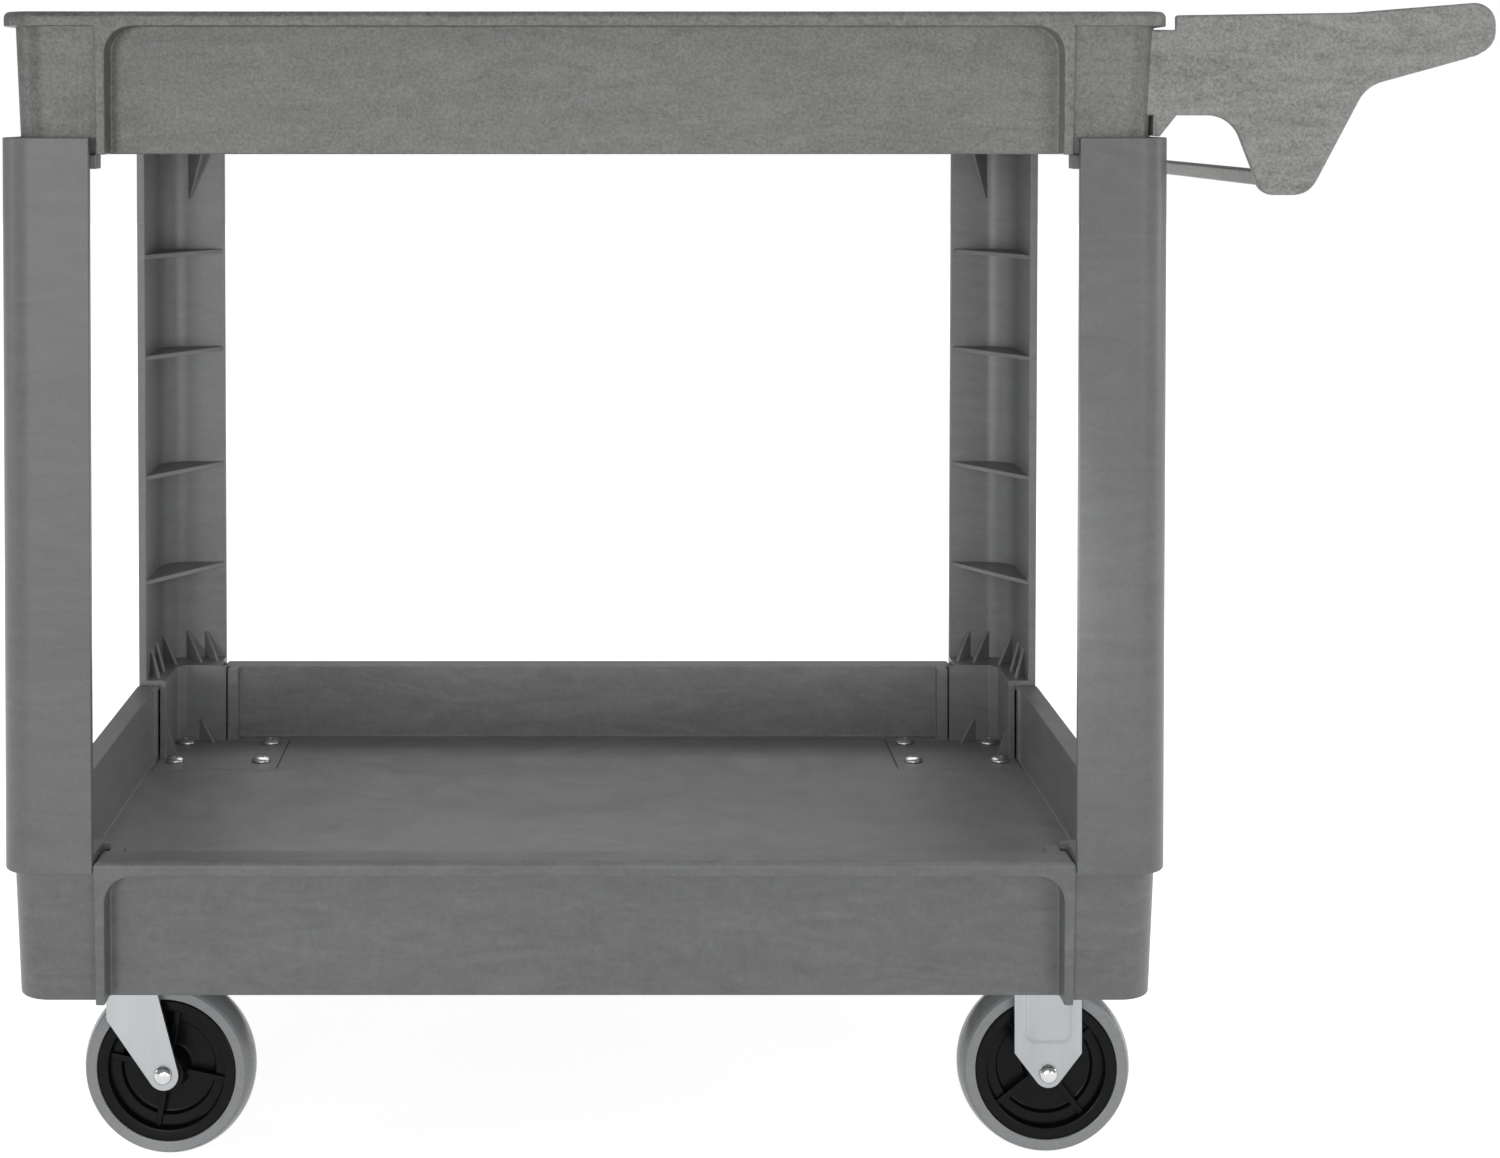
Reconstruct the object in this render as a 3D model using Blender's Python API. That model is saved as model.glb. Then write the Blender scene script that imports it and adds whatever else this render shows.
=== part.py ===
"""Utility cart: two lipped trays on four L-section posts, a handle moulding and four casters.

Metres, +Z up, floor at Z = 0. X runs along the cart with the handle at +X, Y runs across it.
The pieces are modelled about the middle of the trays, and the empty "cart" carries them to the
part's own origin, which is the middle of the whole cart on the floor.
"""

import math

import bmesh
import bpy
from mathutils import Matrix, Vector

# Clearances
FIT = 0.0003  # between pieces that touch
SHANK_FIT = 0.0005  # round a bolt or a pin, on the radius
POCKET_FIT = 0.0008  # round a post's foot plate
OVERRUN = 0.002  # how far a cutter runs past what it cuts, and a rib into its wall

# Trays: both have the same walls
LIP_LENGTH = 0.835
LIP_WIDTH = 0.635
LIP_HEIGHT = 0.0105
LIP_CORNER = 0.025
TRAY_HEIGHT = 0.102
WELL_DEPTH = 0.067
WALL = 0.006
FLOOR = 0.0057
LONG_RECESS = 0.020  # panel of a long side, behind the lip
END_RECESS = 0.013  # panel of an end, behind the lip
CORNER_INSET_TOP = 0.0067  # corner wall behind the lip
CORNER_INSET_BOTTOM = 0.0105
CORNER_RADIUS = 0.025
FLANGE = 0.0075  # upright flange beside each corner, outside
BAND_WIDTH = 0.010  # pilaster beside each post, inside the lower well
BAND_GAP = 0.006
LONG_BAND_DEPTH = 0.014
END_BAND_DEPTH = 0.0025
END_BAND_GAP = 0.006
UPPER_RIM_Z = 0.8407
TRAY_RIB = 0.004
UPPER_RIB_DEPTH = 0.020
LOWER_RIB_DEPTH = 0.018
TRAY_RIB_PITCH = 0.147  # across Y, between crossing ribs under the floor
TRAY_RIB_SLOPE = 0.76

# Posts
POST_WALL = 0.007
POST_LONG = 0.066  # flange along X
POST_SHORT = 0.1055  # flange along Y
POST_CORNER = 0.025
POST_PROUD = 0.003  # outer face past the lip, across Y
POST_END_INSET = 0.0025  # outer face behind the lip, along X, at the bottom
POST_SPLAY = 0.0025  # the top leans out by this
POST_SKIRT = 0.0034  # skin below the lower ledge
POST_LAP = 0.0124  # skin above the upper ledge
LEDGE = 0.009
UPPER_LEDGE = 0.010
UPPER_TAB = 0.004
POST_RIB = 0.004
POST_RIB_TOPS = (0.333, 0.430, 0.541, 0.635)
INSERT_WALL = 0.006
INSERT_INSET_Y = 0.034  # insert's outer face behind the lip, lower end
INSERT_INSET_X = 0.022
INSERT_CHAMFER = 0.0075
INSERT_CORNER = 0.002
INSERT_TAB = 0.002  # insert's wall past the post's edge, along Y
INSERT_END = 0.005  # and along X
UPPER_INSERT_FIT = 0.001
FOOT_PLATE = 0.005
FOOT_REACH_X = 0.112
FOOT_REACH_Y = 0.105
FOOT_CORNER = 0.008
FIN = 0.004
LEDGE_FIN_HEIGHT = 0.025
LONG_FINS = ((0.047, 0.014, 0.019), (0.029, 0.017, 0.023))  # from the end face, reach in X and Y
BEND_FIN = (0.0085, 0.0235)  # from the end face and the long face
BEND_FIN_REACH = (0.016, 0.020)
SHORT_FINS = (0.050, 0.0235)  # from the free edge
SHORT_FIN_REACH = (0.010, 0.013)
LONG_FOOT_FIN = (0.0285, 0.0137, 0.0104, 0.020)  # from the insert's outer face, reach, height
SHORT_FOOT_FIN = (0.0085, 0.0090, 0.0235)  # from the free edge, reach, height
HANGING_FIN = (0.031, 0.015, 0.020)  # from the end face, reach in X and Y
HANGING_FIN_HEIGHT = 0.045

# Handle: its side view is measured out from the lip's end and up from the upper tray's rim
HANDLE_REACH = 0.2367  # tip past the lip
HANDLE_RISE = 0.0063  # highest edge above the rim
HANDLE_PLATE = 0.006
HANDLE_INSET = 0.020  # side plates' outer faces behind the lip
ARM_DROP = 0.0742
LOBE_DROP = 0.1314
ARM_START = (0.0465, -ARM_DROP, 0.016)  # corner of the side view, with its radius
LOBE_BACK = (0.0685, -LOBE_DROP, 0.012)
LOBE_FRONT = (0.1025, -LOBE_DROP, 0.020)
ARM_UNDERSIDE = (
    (0.1438, -0.0533, 0.028),
    (0.2155, -0.0335, 0.060),
    (HANDLE_REACH, -0.0250, 0.0185),
)
ARM_TOP = (
    (HANDLE_REACH, HANDLE_RISE + 0.0016, 0.0195),
    (0.1325, -0.0004, 0.150),
)
ARM_STEPS = 4
ARM_RUN_IN = 0.025  # the side view starts this far inside the lip, and the tray is cut out of it
FLANGE_TRIM = 0.001  # flange inside the side plates' outer faces
GUSSET_REACH = 0.012
TIE_REACH = 0.0647
TIE_DROP = 0.1137
HANDLE_FLANGE = 0.005
BIN_REACH = 0.1275
BIN_WALL = 0.005
BIN_RISE = 0.001  # above the arm's lower edge
BIN_TOP_DROP = 0.004  # below the tray's rim
GRIP_RADIUS = 0.0185
GRIP_BACK = 0.0200  # middle behind the tip
GRIP_DROP = 0.0203  # middle below the top
GRIP_SIDES = 16
TIE_HEIGHT = 0.011
TIE_DEPTH = 0.014
LOBE_PAD = 0.013
NOTCH_REACH = 0.007  # past the lip
NOTCH_DROP = 0.0022  # below the lip
NOTCH_RADIUS = 0.0015
HANDLE_BOLTS_Y = (0.020, 0.053)  # from the posts' free edge

# Bolts
BOLT_RADIUS = 0.004
BOLT_HEAD_RADIUS = 0.0087
BOLT_HEAD = 0.0045
DOME = (BOLT_HEAD_RADIUS * 0.7, BOLT_HEAD * 0.85)  # radius and height where a head's dome turns
NUT_RADIUS = 0.0070
NUT_HEIGHT = 0.0060
SCREW_TAIL = 0.006
BOLT_SIDES = 6
HEAD_SIDES = 8
CASTER_BOLTS_X = 0.0795
CASTER_BOLTS_Y = 0.065

# Casters
CASTER_INSET_X = 0.0777  # mounting middle behind the lip
CASTER_INSET_Y = 0.083
MOUNT_HEIGHT = 0.15875
TOP_PLATE = 0.003
TOP_PLATE_X = 0.100
TOP_PLATE_Y = 0.086
TOP_PLATE_CORNER = 0.008
TRAIL = 0.033
REST_STEER = math.radians(-5)
RACE_RADIUS = 0.030
RACE_LOWER_RADIUS = 0.026
CROWN_TOP = 0.135
CROWN_STEP = 0.0004  # race seat above the pressed sheet
FORK_SHEET = 0.003
FORK_HALF_WIDTH = 0.024
FORK_BEND = 0.006
FORK_BACK = 0.0096  # rear edge of the raked leg, behind the swivel axis
FORK_FRONT = 0.029
FORK_KNEE_Z = 0.1027
FORK_SHOULDER_Z = 0.122
FORK_TIP_RADIUS = 0.0115
RIGID_HALF = 0.02475
RIGID_SHOULDER_Z = 0.0785
RIGID_TIP_RADIUS = 0.0105
EMBOSS_HALF = 0.017
EMBOSS_TOP_Z = 0.130
EMBOSS_BOTTOM_Z = 0.086
EMBOSS = 0.0008
KINGPIN_RADIUS = 0.0063
KINGPIN_HEAD_RADIUS = 0.0095
KINGPIN_HEAD = 0.0025
FORK_BLANK = 0.060  # sheet and cutters run this far from the middle
FORK_BLANK_Z = 0.040
EMBOSS_CORNER = 0.008
TIP_STEPS = 6

# Wheels
WHEEL_DIAMETER = 0.127
WHEEL_SIDES = 24
TYRE_HALF_WIDTH = 0.016
TYRE_INNER = 0.052
TREAD_HALF = 0.008
SIDEWALL_DISH = 0.0008
SIDEWALL_RADIUS = 0.0595
RIM_INNER = 0.0436
RIM_HALF = 0.0148
WEB_HALF = 0.0025
BARREL_RADIUS = 0.014
HUB_RIB = 0.005
HUB_RIB_HALF = 0.0105
HUB_RIBS = 4
SWIVEL_HUB_TURN = math.radians(80)
RIGID_HUB_TURN = math.radians(38)
AXLE_RADIUS = 0.0048
AXLE_HEAD_RADIUS = 0.0067
AXLE_HEAD = 0.0036
DOME_RATIO = 0.73  # of a head's radius and height, where its dome turns
BUSHING_RADIUS = 0.0087
AXLE_SIDES = 10
RACE_SIDES = 16

# Curves
CORNER_STEPS = 3

# Places that follow from the sizes above
LIP_X = LIP_LENGTH / 2
LIP_Y = LIP_WIDTH / 2
ORIGIN_X = -HANDLE_REACH / 2
POCKET_UNDER = MOUNT_HEIGHT + FIT
POCKET_TOP = POCKET_UNDER + FLOOR
LOWER_FLOOR_TOP = POCKET_TOP + FIT + FOOT_PLATE
LOWER_RIM_Z = LOWER_FLOOR_TOP + WELL_DEPTH
POCKET_DEPTH = LOWER_FLOOR_TOP - POCKET_TOP
POST_X = LIP_X - POST_END_INSET
POST_Y = LIP_Y + POST_PROUD
POST_EDGE_X = POST_X - POST_LONG
POST_EDGE_Y = POST_Y - POST_SHORT
INSERT_X = LIP_X - INSERT_INSET_X
INSERT_Y = LIP_Y - INSERT_INSET_Y
FOOT_EDGE_X = INSERT_X - FOOT_REACH_X
FOOT_EDGE_Y = INSERT_Y - INSERT_WALL - FOOT_REACH_Y
CORNER_TOP_Z = LOWER_RIM_Z - LIP_HEIGHT / 2
LOWER_LEDGE_Z = CORNER_TOP_Z + FIT
POST_BOTTOM_Z = LOWER_LEDGE_Z - POST_SKIRT
UPPER_LEDGE_TOP = UPPER_RIM_Z - TRAY_HEIGHT - FIT
POST_TOP_Z = UPPER_LEDGE_TOP + POST_LAP
TOP_PLATE_Z = UPPER_RIM_Z - WELL_DEPTH - POCKET_DEPTH - FLOOR - FIT
HANDLE_Y = LIP_Y - HANDLE_INSET
ARM_BOTTOM_Z = UPPER_RIM_Z - ARM_DROP
TIE_X = LIP_X + TIE_REACH
TIE_TOP_Z = UPPER_RIM_Z - TIE_DROP
BIN_X = LIP_X + BIN_REACH
CASTER_X = LIP_X - CASTER_INSET_X
CASTER_Y = LIP_Y - CASTER_INSET_Y
WHEEL_RADIUS = WHEEL_DIAMETER / 2

SMALL_BOLT_SPOTS = ((-1, -1), (1, 1))
CORNERS = {
    "front_left": (-1, -1),
    "front_right": (1, -1),
    "back_left": (-1, 1),
    "back_right": (1, 1),
}


def material(name, colour, roughness, metallic=0.0):
    """A Principled material with the part's colour."""
    made = bpy.data.materials.new(name)
    made.use_nodes = True
    shader = made.node_tree.nodes["Principled BSDF"]
    shader.inputs["Base Color"].default_value = (*colour, 1.0)
    shader.inputs["Roughness"].default_value = roughness
    shader.inputs["Metallic"].default_value = metallic
    made.diffuse_color = (*colour, 1.0)
    return made


def object_from(name, bm):
    """A new object from a bmesh, with its faces pointing out."""
    bmesh.ops.recalc_face_normals(bm, faces=bm.faces)
    mesh = bpy.data.meshes.new(name)
    bm.to_mesh(mesh)
    bm.free()
    made = bpy.data.objects.new(name, mesh)
    bpy.context.collection.objects.link(made)
    return made


def loft(name, low, high):
    """A closed solid between two rings of the same number of points."""
    bm = bmesh.new()
    bottom = [bm.verts.new(point) for point in low]
    top = [bm.verts.new(point) for point in high]
    bm.faces.new(bottom[::-1])
    bm.faces.new(top)
    count = len(low)
    for i in range(count):
        j = (i + 1) % count
        bm.faces.new((bottom[i], bottom[j], top[j], top[i]))
    return object_from(name, bm)


def prism(name, outline, z0, z1, outline_top=None):
    """A plan outline extruded upwards, with another outline of the same count at its top if given."""
    low = [(x, y, z0) for x, y in outline]
    high = [(x, y, z1) for x, y in outline_top or outline]
    return loft(name, low, high)


def side_prism(name, profile, y0, y1):
    """A profile of X and Z extruded along Y."""
    return loft(name, [(x, y0, z) for x, z in profile], [(x, y1, z) for x, z in profile])


def end_prism(name, profile, x0, x1):
    """A profile of Y and Z extruded along X."""
    return loft(name, [(x0, y, z) for y, z in profile], [(x1, y, z) for y, z in profile])


def turned(name, profile, sides, turn=0.0):
    """A closed profile of radius and height turned about Z. A radius of 0 closes on the axis."""
    bm = bmesh.new()
    rings = []
    for radius, z in profile:
        if radius == 0:
            rings.append([bm.verts.new((0, 0, z))] * sides)
            continue
        ring = []
        for i in range(sides):
            angle = turn + 2 * math.pi * i / sides
            ring.append(bm.verts.new((radius * math.cos(angle), radius * math.sin(angle), z)))
        rings.append(ring)
    for k, ring in enumerate(rings):
        above = rings[(k + 1) % len(rings)]
        for i in range(sides):
            j = (i + 1) % sides
            corners = []
            for vert in (ring[i], ring[j], above[j], above[i]):
                if vert not in corners:
                    corners.append(vert)
            if len(corners) > 2:
                bm.faces.new(corners)
    return object_from(name, bm)


def rod(name, radius, z0, z1, sides, turn=0.0):
    """A plain round bar along Z."""
    return turned(name, [(0, z0), (radius, z0), (radius, z1), (0, z1)], sides, turn)


def box(name, x, y, z):
    """A box from pairs of limits."""
    outline = [(x[0], y[0]), (x[1], y[0]), (x[1], y[1]), (x[0], y[1])]
    return prism(name, outline, z[0], z[1])


def combine(base, tool, operation):
    """Applies a Boolean to the base and removes the tool."""
    modifier = base.modifiers.new(operation.lower(), "BOOLEAN")
    modifier.operation = operation
    modifier.solver = "EXACT"
    modifier.object = tool
    depsgraph = bpy.context.evaluated_depsgraph_get()
    mesh = bpy.data.meshes.new_from_object(base.evaluated_get(depsgraph))
    base.modifiers.clear()
    old = base.data
    base.data = mesh
    bpy.data.meshes.remove(old)
    bpy.data.objects.remove(tool)
    return base


def union(base, *tools):
    for tool in tools:
        combine(base, tool, "UNION")
    return base


def cut(base, *tools):
    for tool in tools:
        combine(base, tool, "DIFFERENCE")
    return base


def rounded(corners, steps=CORNER_STEPS):
    """Replaces each corner (x, y, radius) of a closed outline by an arc."""
    points = []
    count = len(corners)
    for i, (x, y, radius) in enumerate(corners):
        here = Vector((x, y))
        if radius == 0:
            points.append((x, y))
            continue
        before = Vector(corners[i - 1][:2]) - here
        after = Vector(corners[(i + 1) % count][:2]) - here
        half = before.angle(after) / 2
        reach = min(radius / math.tan(half), before.length / 2, after.length / 2)
        fitted = reach * math.tan(half)
        middle = (before.normalized() + after.normalized()).normalized()
        centre = here + middle * (fitted / math.sin(half))
        start = here + before.normalized() * reach - centre
        sweep = math.pi - 2 * half
        if before.cross(after) > 0:
            sweep = -sweep
        for k in range(steps + 1):
            spoke = start.copy()
            spoke.rotate(Matrix.Rotation(sweep * k / steps, 2))
            points.append(tuple(centre + spoke))
    return points


def quarters(points):
    """A closed outline from its quarter between +X and +Y."""
    outline = list(points)
    outline += [(-x, y) for x, y in reversed(points)]
    outline += [(-x, -y) for x, y in points]
    outline += [(x, -y) for x, y in reversed(points)]
    return outline


def corner_arc(x, y, radius):
    """The arc of an outer corner at x, y, from the +X side to the +Y side."""
    points = []
    for k in range(CORNER_STEPS + 1):
        angle = math.pi / 2 * k / CORNER_STEPS
        points.append((x - radius + radius * math.cos(angle), y - radius + radius * math.sin(angle)))
    return points


def mirrored(made, sx, sy):
    """Carries a mesh made for the +X +Y corner to another corner."""
    made.data.transform(Matrix.Diagonal((sx, sy, 1, 1)))
    if sx * sy < 0:
        made.data.flip_normals()
    return made


def finish(made, name, look, parent=None, location=(0, 0, 0), smooth=False):
    """Names a piece, gives it its material and hangs it on its parent."""
    made.name = name
    made.data.name = name
    made.data.materials.clear()
    made.data.materials.append(look)
    made.parent = parent
    made.location = location
    if smooth:
        made.data.shade_smooth()
        made.data.set_sharp_from_angle(angle=math.radians(40))
    return made


def empty(name, parent=None, location=(0, 0, 0), turn=0.0):
    made = bpy.data.objects.new(name, None)
    bpy.context.collection.objects.link(made)
    made.parent = parent
    made.location = location
    made.rotation_euler = (0, 0, turn)
    return made


def tray_outline(inset, grow=0.0):
    """Outer plan outline of a tray's wall; inset is the corner wall's place behind the lip."""
    end_panel = LIP_X - END_RECESS + grow
    long_panel = LIP_Y - LONG_RECESS + grow
    flange_x = POST_EDGE_X - FIT + grow
    flange_y = POST_EDGE_Y - FIT + grow
    quarter = [
        (end_panel, flange_y - FLANGE - 2 * grow),
        (LIP_X + grow, flange_y - FLANGE - 2 * grow),
        (LIP_X + grow, flange_y),
        (LIP_X - inset + grow, flange_y),
        *corner_arc(LIP_X - inset + grow, LIP_Y - inset + grow, CORNER_RADIUS + grow),
        (flange_x, LIP_Y - inset + grow),
        (flange_x, LIP_Y + grow),
        (flange_x - FLANGE - 2 * grow, LIP_Y + grow),
        (flange_x - FLANGE - 2 * grow, long_panel),
    ]
    return quarters(quarter)


def well_outline(inset, bands):
    """Inner plan outline of a tray's wall, with the pilasters beside the posts if asked."""
    end_face = LIP_X - END_RECESS - WALL
    long_face = LIP_Y - LONG_RECESS - WALL
    side_x = POST_EDGE_X - FIT
    side_y = POST_EDGE_Y - FIT
    band_x = side_x - BAND_GAP
    band_y = side_y - END_BAND_GAP
    quarter = []
    if bands:
        quarter += [
            (end_face, band_y - BAND_WIDTH),
            (end_face - END_BAND_DEPTH, band_y - BAND_WIDTH),
            (end_face - END_BAND_DEPTH, band_y),
            (end_face, band_y),
        ]
    quarter += [
        (end_face, side_y),
        (LIP_X - inset - WALL, side_y),
        *corner_arc(LIP_X - inset - WALL, LIP_Y - inset - WALL, CORNER_RADIUS - WALL),
        (side_x, LIP_Y - inset - WALL),
        (side_x, long_face),
    ]
    if bands:
        quarter += [
            (band_x, long_face),
            (band_x, long_face - LONG_BAND_DEPTH),
            (band_x - BAND_WIDTH, long_face - LONG_BAND_DEPTH),
            (band_x - BAND_WIDTH, long_face),
        ]
    return quarters(quarter)


def foot_outline(grow=0.0):
    """Plan outline of a post's foot plate in the +X +Y corner; grown, it is the tray's pocket."""
    tab_x = POST_EDGE_X - INSERT_END - grow
    inner_y = INSERT_Y - INSERT_WALL - FIT + grow
    corners = [
        (FOOT_EDGE_X - grow, FOOT_EDGE_Y - grow, FOOT_CORNER),
        (INSERT_X + grow, FOOT_EDGE_Y - grow, 0),
        (INSERT_X + grow, INSERT_Y + grow, 0),
        (tab_x, INSERT_Y + grow, 0),
        (tab_x, inner_y, 0),
        (FOOT_EDGE_X - grow, inner_y, 0),
    ]
    return rounded(corners, 2)


def bolt_spots():
    """The four bolt places about a caster's middle."""
    return [(dx * CASTER_BOLTS_X / 2, dy * CASTER_BOLTS_Y / 2) for dx in (-1, 1) for dy in (-1, 1)]


def bolt_holes(spots, x, y, z0, z1):
    """Round cutters for bolts along Z."""
    holes = []
    for dx, dy in spots:
        hole = rod("hole", BOLT_RADIUS + SHANK_FIT, z0, z1, BOLT_SIDES)
        hole.data.transform(Matrix.Translation((x + dx, y + dy, 0)))
        holes.append(hole)
    return holes


def inset_at(drop):
    """The corner wall's place behind the lip, at a depth below the rim."""
    return CORNER_INSET_TOP + (CORNER_INSET_BOTTOM - CORNER_INSET_TOP) * drop / TRAY_HEIGHT


def corner_block(edge_x, edge_y, z0, z1):
    """A block over the +X +Y corner that runs out through the walls."""
    return box("block", (edge_x, LIP_X + OVERRUN), (edge_y, LIP_Y + OVERRUN), (z0, z1))


def rib_lattice(z0, z1):
    """The crossing ribs under a tray's floor, which stop short of the pockets."""
    run = LIP_X
    half = TRAY_RIB / 2 * math.hypot(1, TRAY_RIB_SLOPE)
    bars = []
    for side in (-1, 1):
        for step in (-1, 0, 1):
            middle = step * TRAY_RIB_PITCH
            rise = side * TRAY_RIB_SLOPE * run
            outline = [
                (-run, middle - rise - half),
                (run, middle + rise - half),
                (run, middle + rise + half),
                (-run, middle - rise + half),
            ]
            bars.append(prism("rib", outline, z0, z1))
    lattice = union(*bars)
    edge_x = FOOT_EDGE_X - WALL + OVERRUN / 2
    edge_y = FOOT_EDGE_Y - WALL + OVERRUN / 2
    for sx, sy in CORNERS.values():
        reach = box("reach", (edge_x, 2 * LIP_X), (edge_y, 2 * LIP_Y), (z0 - OVERRUN, z1 + OVERRUN))
        cut(lattice, mirrored(reach, sx, sy))
    return lattice


def under_space(rim_z, rib_depth):
    """What is hollow under a tray's floor: the skirt's inside, less the ribs and the pockets."""
    floor_under = rim_z - WELL_DEPTH - FLOOR
    pocket_under = floor_under - POCKET_DEPTH
    low = well_outline(inset_at(TRAY_HEIGHT + OVERRUN), False)
    high = well_outline(inset_at(WELL_DEPTH + FLOOR), False)
    space = prism("space", low, rim_z - TRAY_HEIGHT - OVERRUN, floor_under, high)
    for sx, sy in CORNERS.values():
        block = corner_block(FOOT_EDGE_X - WALL, FOOT_EDGE_Y - WALL, pocket_under, floor_under + OVERRUN)
        cut(space, mirrored(block, sx, sy))
    return cut(space, rib_lattice(floor_under - rib_depth, floor_under + OVERRUN))


def tray(rim_z, for_posts):
    """One tray moulding. The lower one has its corners open for the posts."""
    skirt_z = rim_z - TRAY_HEIGHT
    floor_top = rim_z - WELL_DEPTH
    low = tray_outline(CORNER_INSET_BOTTOM)
    body = prism("tray", low, skirt_z, rim_z, tray_outline(CORNER_INSET_TOP))
    lip = prism("lip", quarters(corner_arc(LIP_X, LIP_Y, LIP_CORNER)), rim_z - LIP_HEIGHT, rim_z)
    opening = (POST_EDGE_X - FIT, POST_EDGE_Y - FIT)
    if for_posts:
        for sx, sy in CORNERS.values():
            gap = corner_block(*opening, rim_z - LIP_HEIGHT - OVERRUN, rim_z + OVERRUN)
            cut(lip, mirrored(gap, sx, sy))
    union(body, lip)
    well_low = well_outline(inset_at(WELL_DEPTH), for_posts)
    well_high = well_outline(inset_at(-OVERRUN), for_posts)
    well = prism("well", well_low, floor_top, rim_z + OVERRUN, well_high)
    rib_depth = LOWER_RIB_DEPTH if for_posts else UPPER_RIB_DEPTH
    cut(body, under_space(rim_z, rib_depth), well)
    for sx, sy in CORNERS.values():
        pocket = prism("pocket", foot_outline(POCKET_FIT), floor_top - POCKET_DEPTH, floor_top + OVERRUN)
        cut(body, mirrored(pocket, sx, sy))
        spots = bolt_spots() if for_posts else post_bolt_spots(sx, sy)
        under = floor_top - POCKET_DEPTH - FLOOR
        cut(body, *bolt_holes(spots, sx * CASTER_X, sy * CASTER_Y, under - OVERRUN, floor_top))
        if for_posts:
            gap = corner_block(*opening, CORNER_TOP_Z, rim_z + OVERRUN)
            cut(body, mirrored(gap, sx, sy))
    return body


def post_bolt_spots(sx, sy):
    """The two upper bolts of a post, on the diagonal of its corner."""
    spots = []
    for dx, dy in SMALL_BOLT_SPOTS:
        spots.append((sx * dx * CASTER_BOLTS_X / 2, sy * dy * CASTER_BOLTS_Y / 2))
    return spots


def post_section():
    """Plan outline of a post's L, in the +X +Y corner."""
    outer = corner_arc(POST_X, POST_Y, POST_CORNER)
    inner = corner_arc(POST_X - POST_WALL, POST_Y - POST_WALL, POST_CORNER)
    return [
        (POST_X - POST_WALL, POST_EDGE_Y),
        (POST_X, POST_EDGE_Y),
        *outer,
        (POST_EDGE_X, POST_Y),
        (POST_EDGE_X, POST_Y - POST_WALL),
        *reversed(inner),
    ]


def lean(z):
    """How far a post has leaned out at a height."""
    return POST_SPLAY * (z - POST_BOTTOM_Z) / (POST_TOP_Z - POST_BOTTOM_Z)


def post_rib(top_z):
    """One triangular cross rib of a post, its long edge straight between the flanges."""
    shift = lean(top_z)
    seat = POST_WALL - OVERRUN
    arc = corner_arc(POST_X - seat, POST_Y - seat, POST_CORNER)
    outline = [
        (POST_X - POST_WALL, POST_EDGE_Y + OVERRUN),
        (POST_X - seat, POST_EDGE_Y + OVERRUN),
        *arc,
        (POST_EDGE_X + OVERRUN, POST_Y - seat),
        (POST_EDGE_X + OVERRUN, POST_Y - POST_WALL),
    ]
    moved = [(x + shift, y) for x, y in outline]
    return prism("rib", moved, top_z - POST_RIB, top_z)


def fin(x, y, reach_x, reach_y, base_z, tip_z):
    """A triangular gusset that stands on a plate at base_z against the wall at x, y."""
    into = math.copysign(OVERRUN, base_z - tip_z)
    length = math.hypot(reach_x, reach_y)
    along = Vector((reach_x, reach_y)) / length
    across = Vector((-along.y, along.x)) * FIN / 2
    shape = [
        (-OVERRUN, base_z + into),
        (length, base_z + into),
        (length, base_z),
        (0, tip_z),
        (-OVERRUN, tip_z),
    ]
    low = [(x + along.x * s - across.x, y + along.y * s - across.y, z) for s, z in shape]
    high = [(x + along.x * s + across.x, y + along.y * s + across.y, z) for s, z in shape]
    return loft("fin", low, high)


def insert_outline(outer_x, outer_y, start_x, start_y, corner):
    """Plan outline of the insert walls that stand inside a tray's corner."""
    inner_x = outer_x - INSERT_WALL
    inner_y = outer_y - INSERT_WALL
    return [
        (outer_x, start_y),
        *corner_arc(outer_x, outer_y, corner),
        (start_x, outer_y),
        (start_x, inner_y),
        (inner_x - INSERT_CHAMFER, inner_y),
        (inner_x, inner_y - INSERT_CHAMFER),
        (inner_x, start_y),
    ]


def ledge_outline(insert_x, insert_y, start_x, start_y, shift, tab):
    """Plan outline of a ledge, from the insert's inner face to the middle of the post's skin."""
    inner_x = insert_x - INSERT_WALL
    inner_y = insert_y - INSERT_WALL
    middle = POST_WALL / 2
    skin_x = POST_X + shift - middle
    skin_y = POST_Y - middle
    outline = [
        (inner_x, start_y),
        (skin_x, start_y),
        *corner_arc(skin_x, skin_y, POST_CORNER - middle),
        (start_x, skin_y),
    ]
    if tab:
        outline += [(start_x, skin_y - POST_WALL), (start_x - tab, skin_y - POST_WALL)]
    outline += [
        (start_x - tab, inner_y),
        (inner_x - INSERT_CHAMFER, inner_y),
        (inner_x, inner_y - INSERT_CHAMFER),
    ]
    return outline


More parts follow.
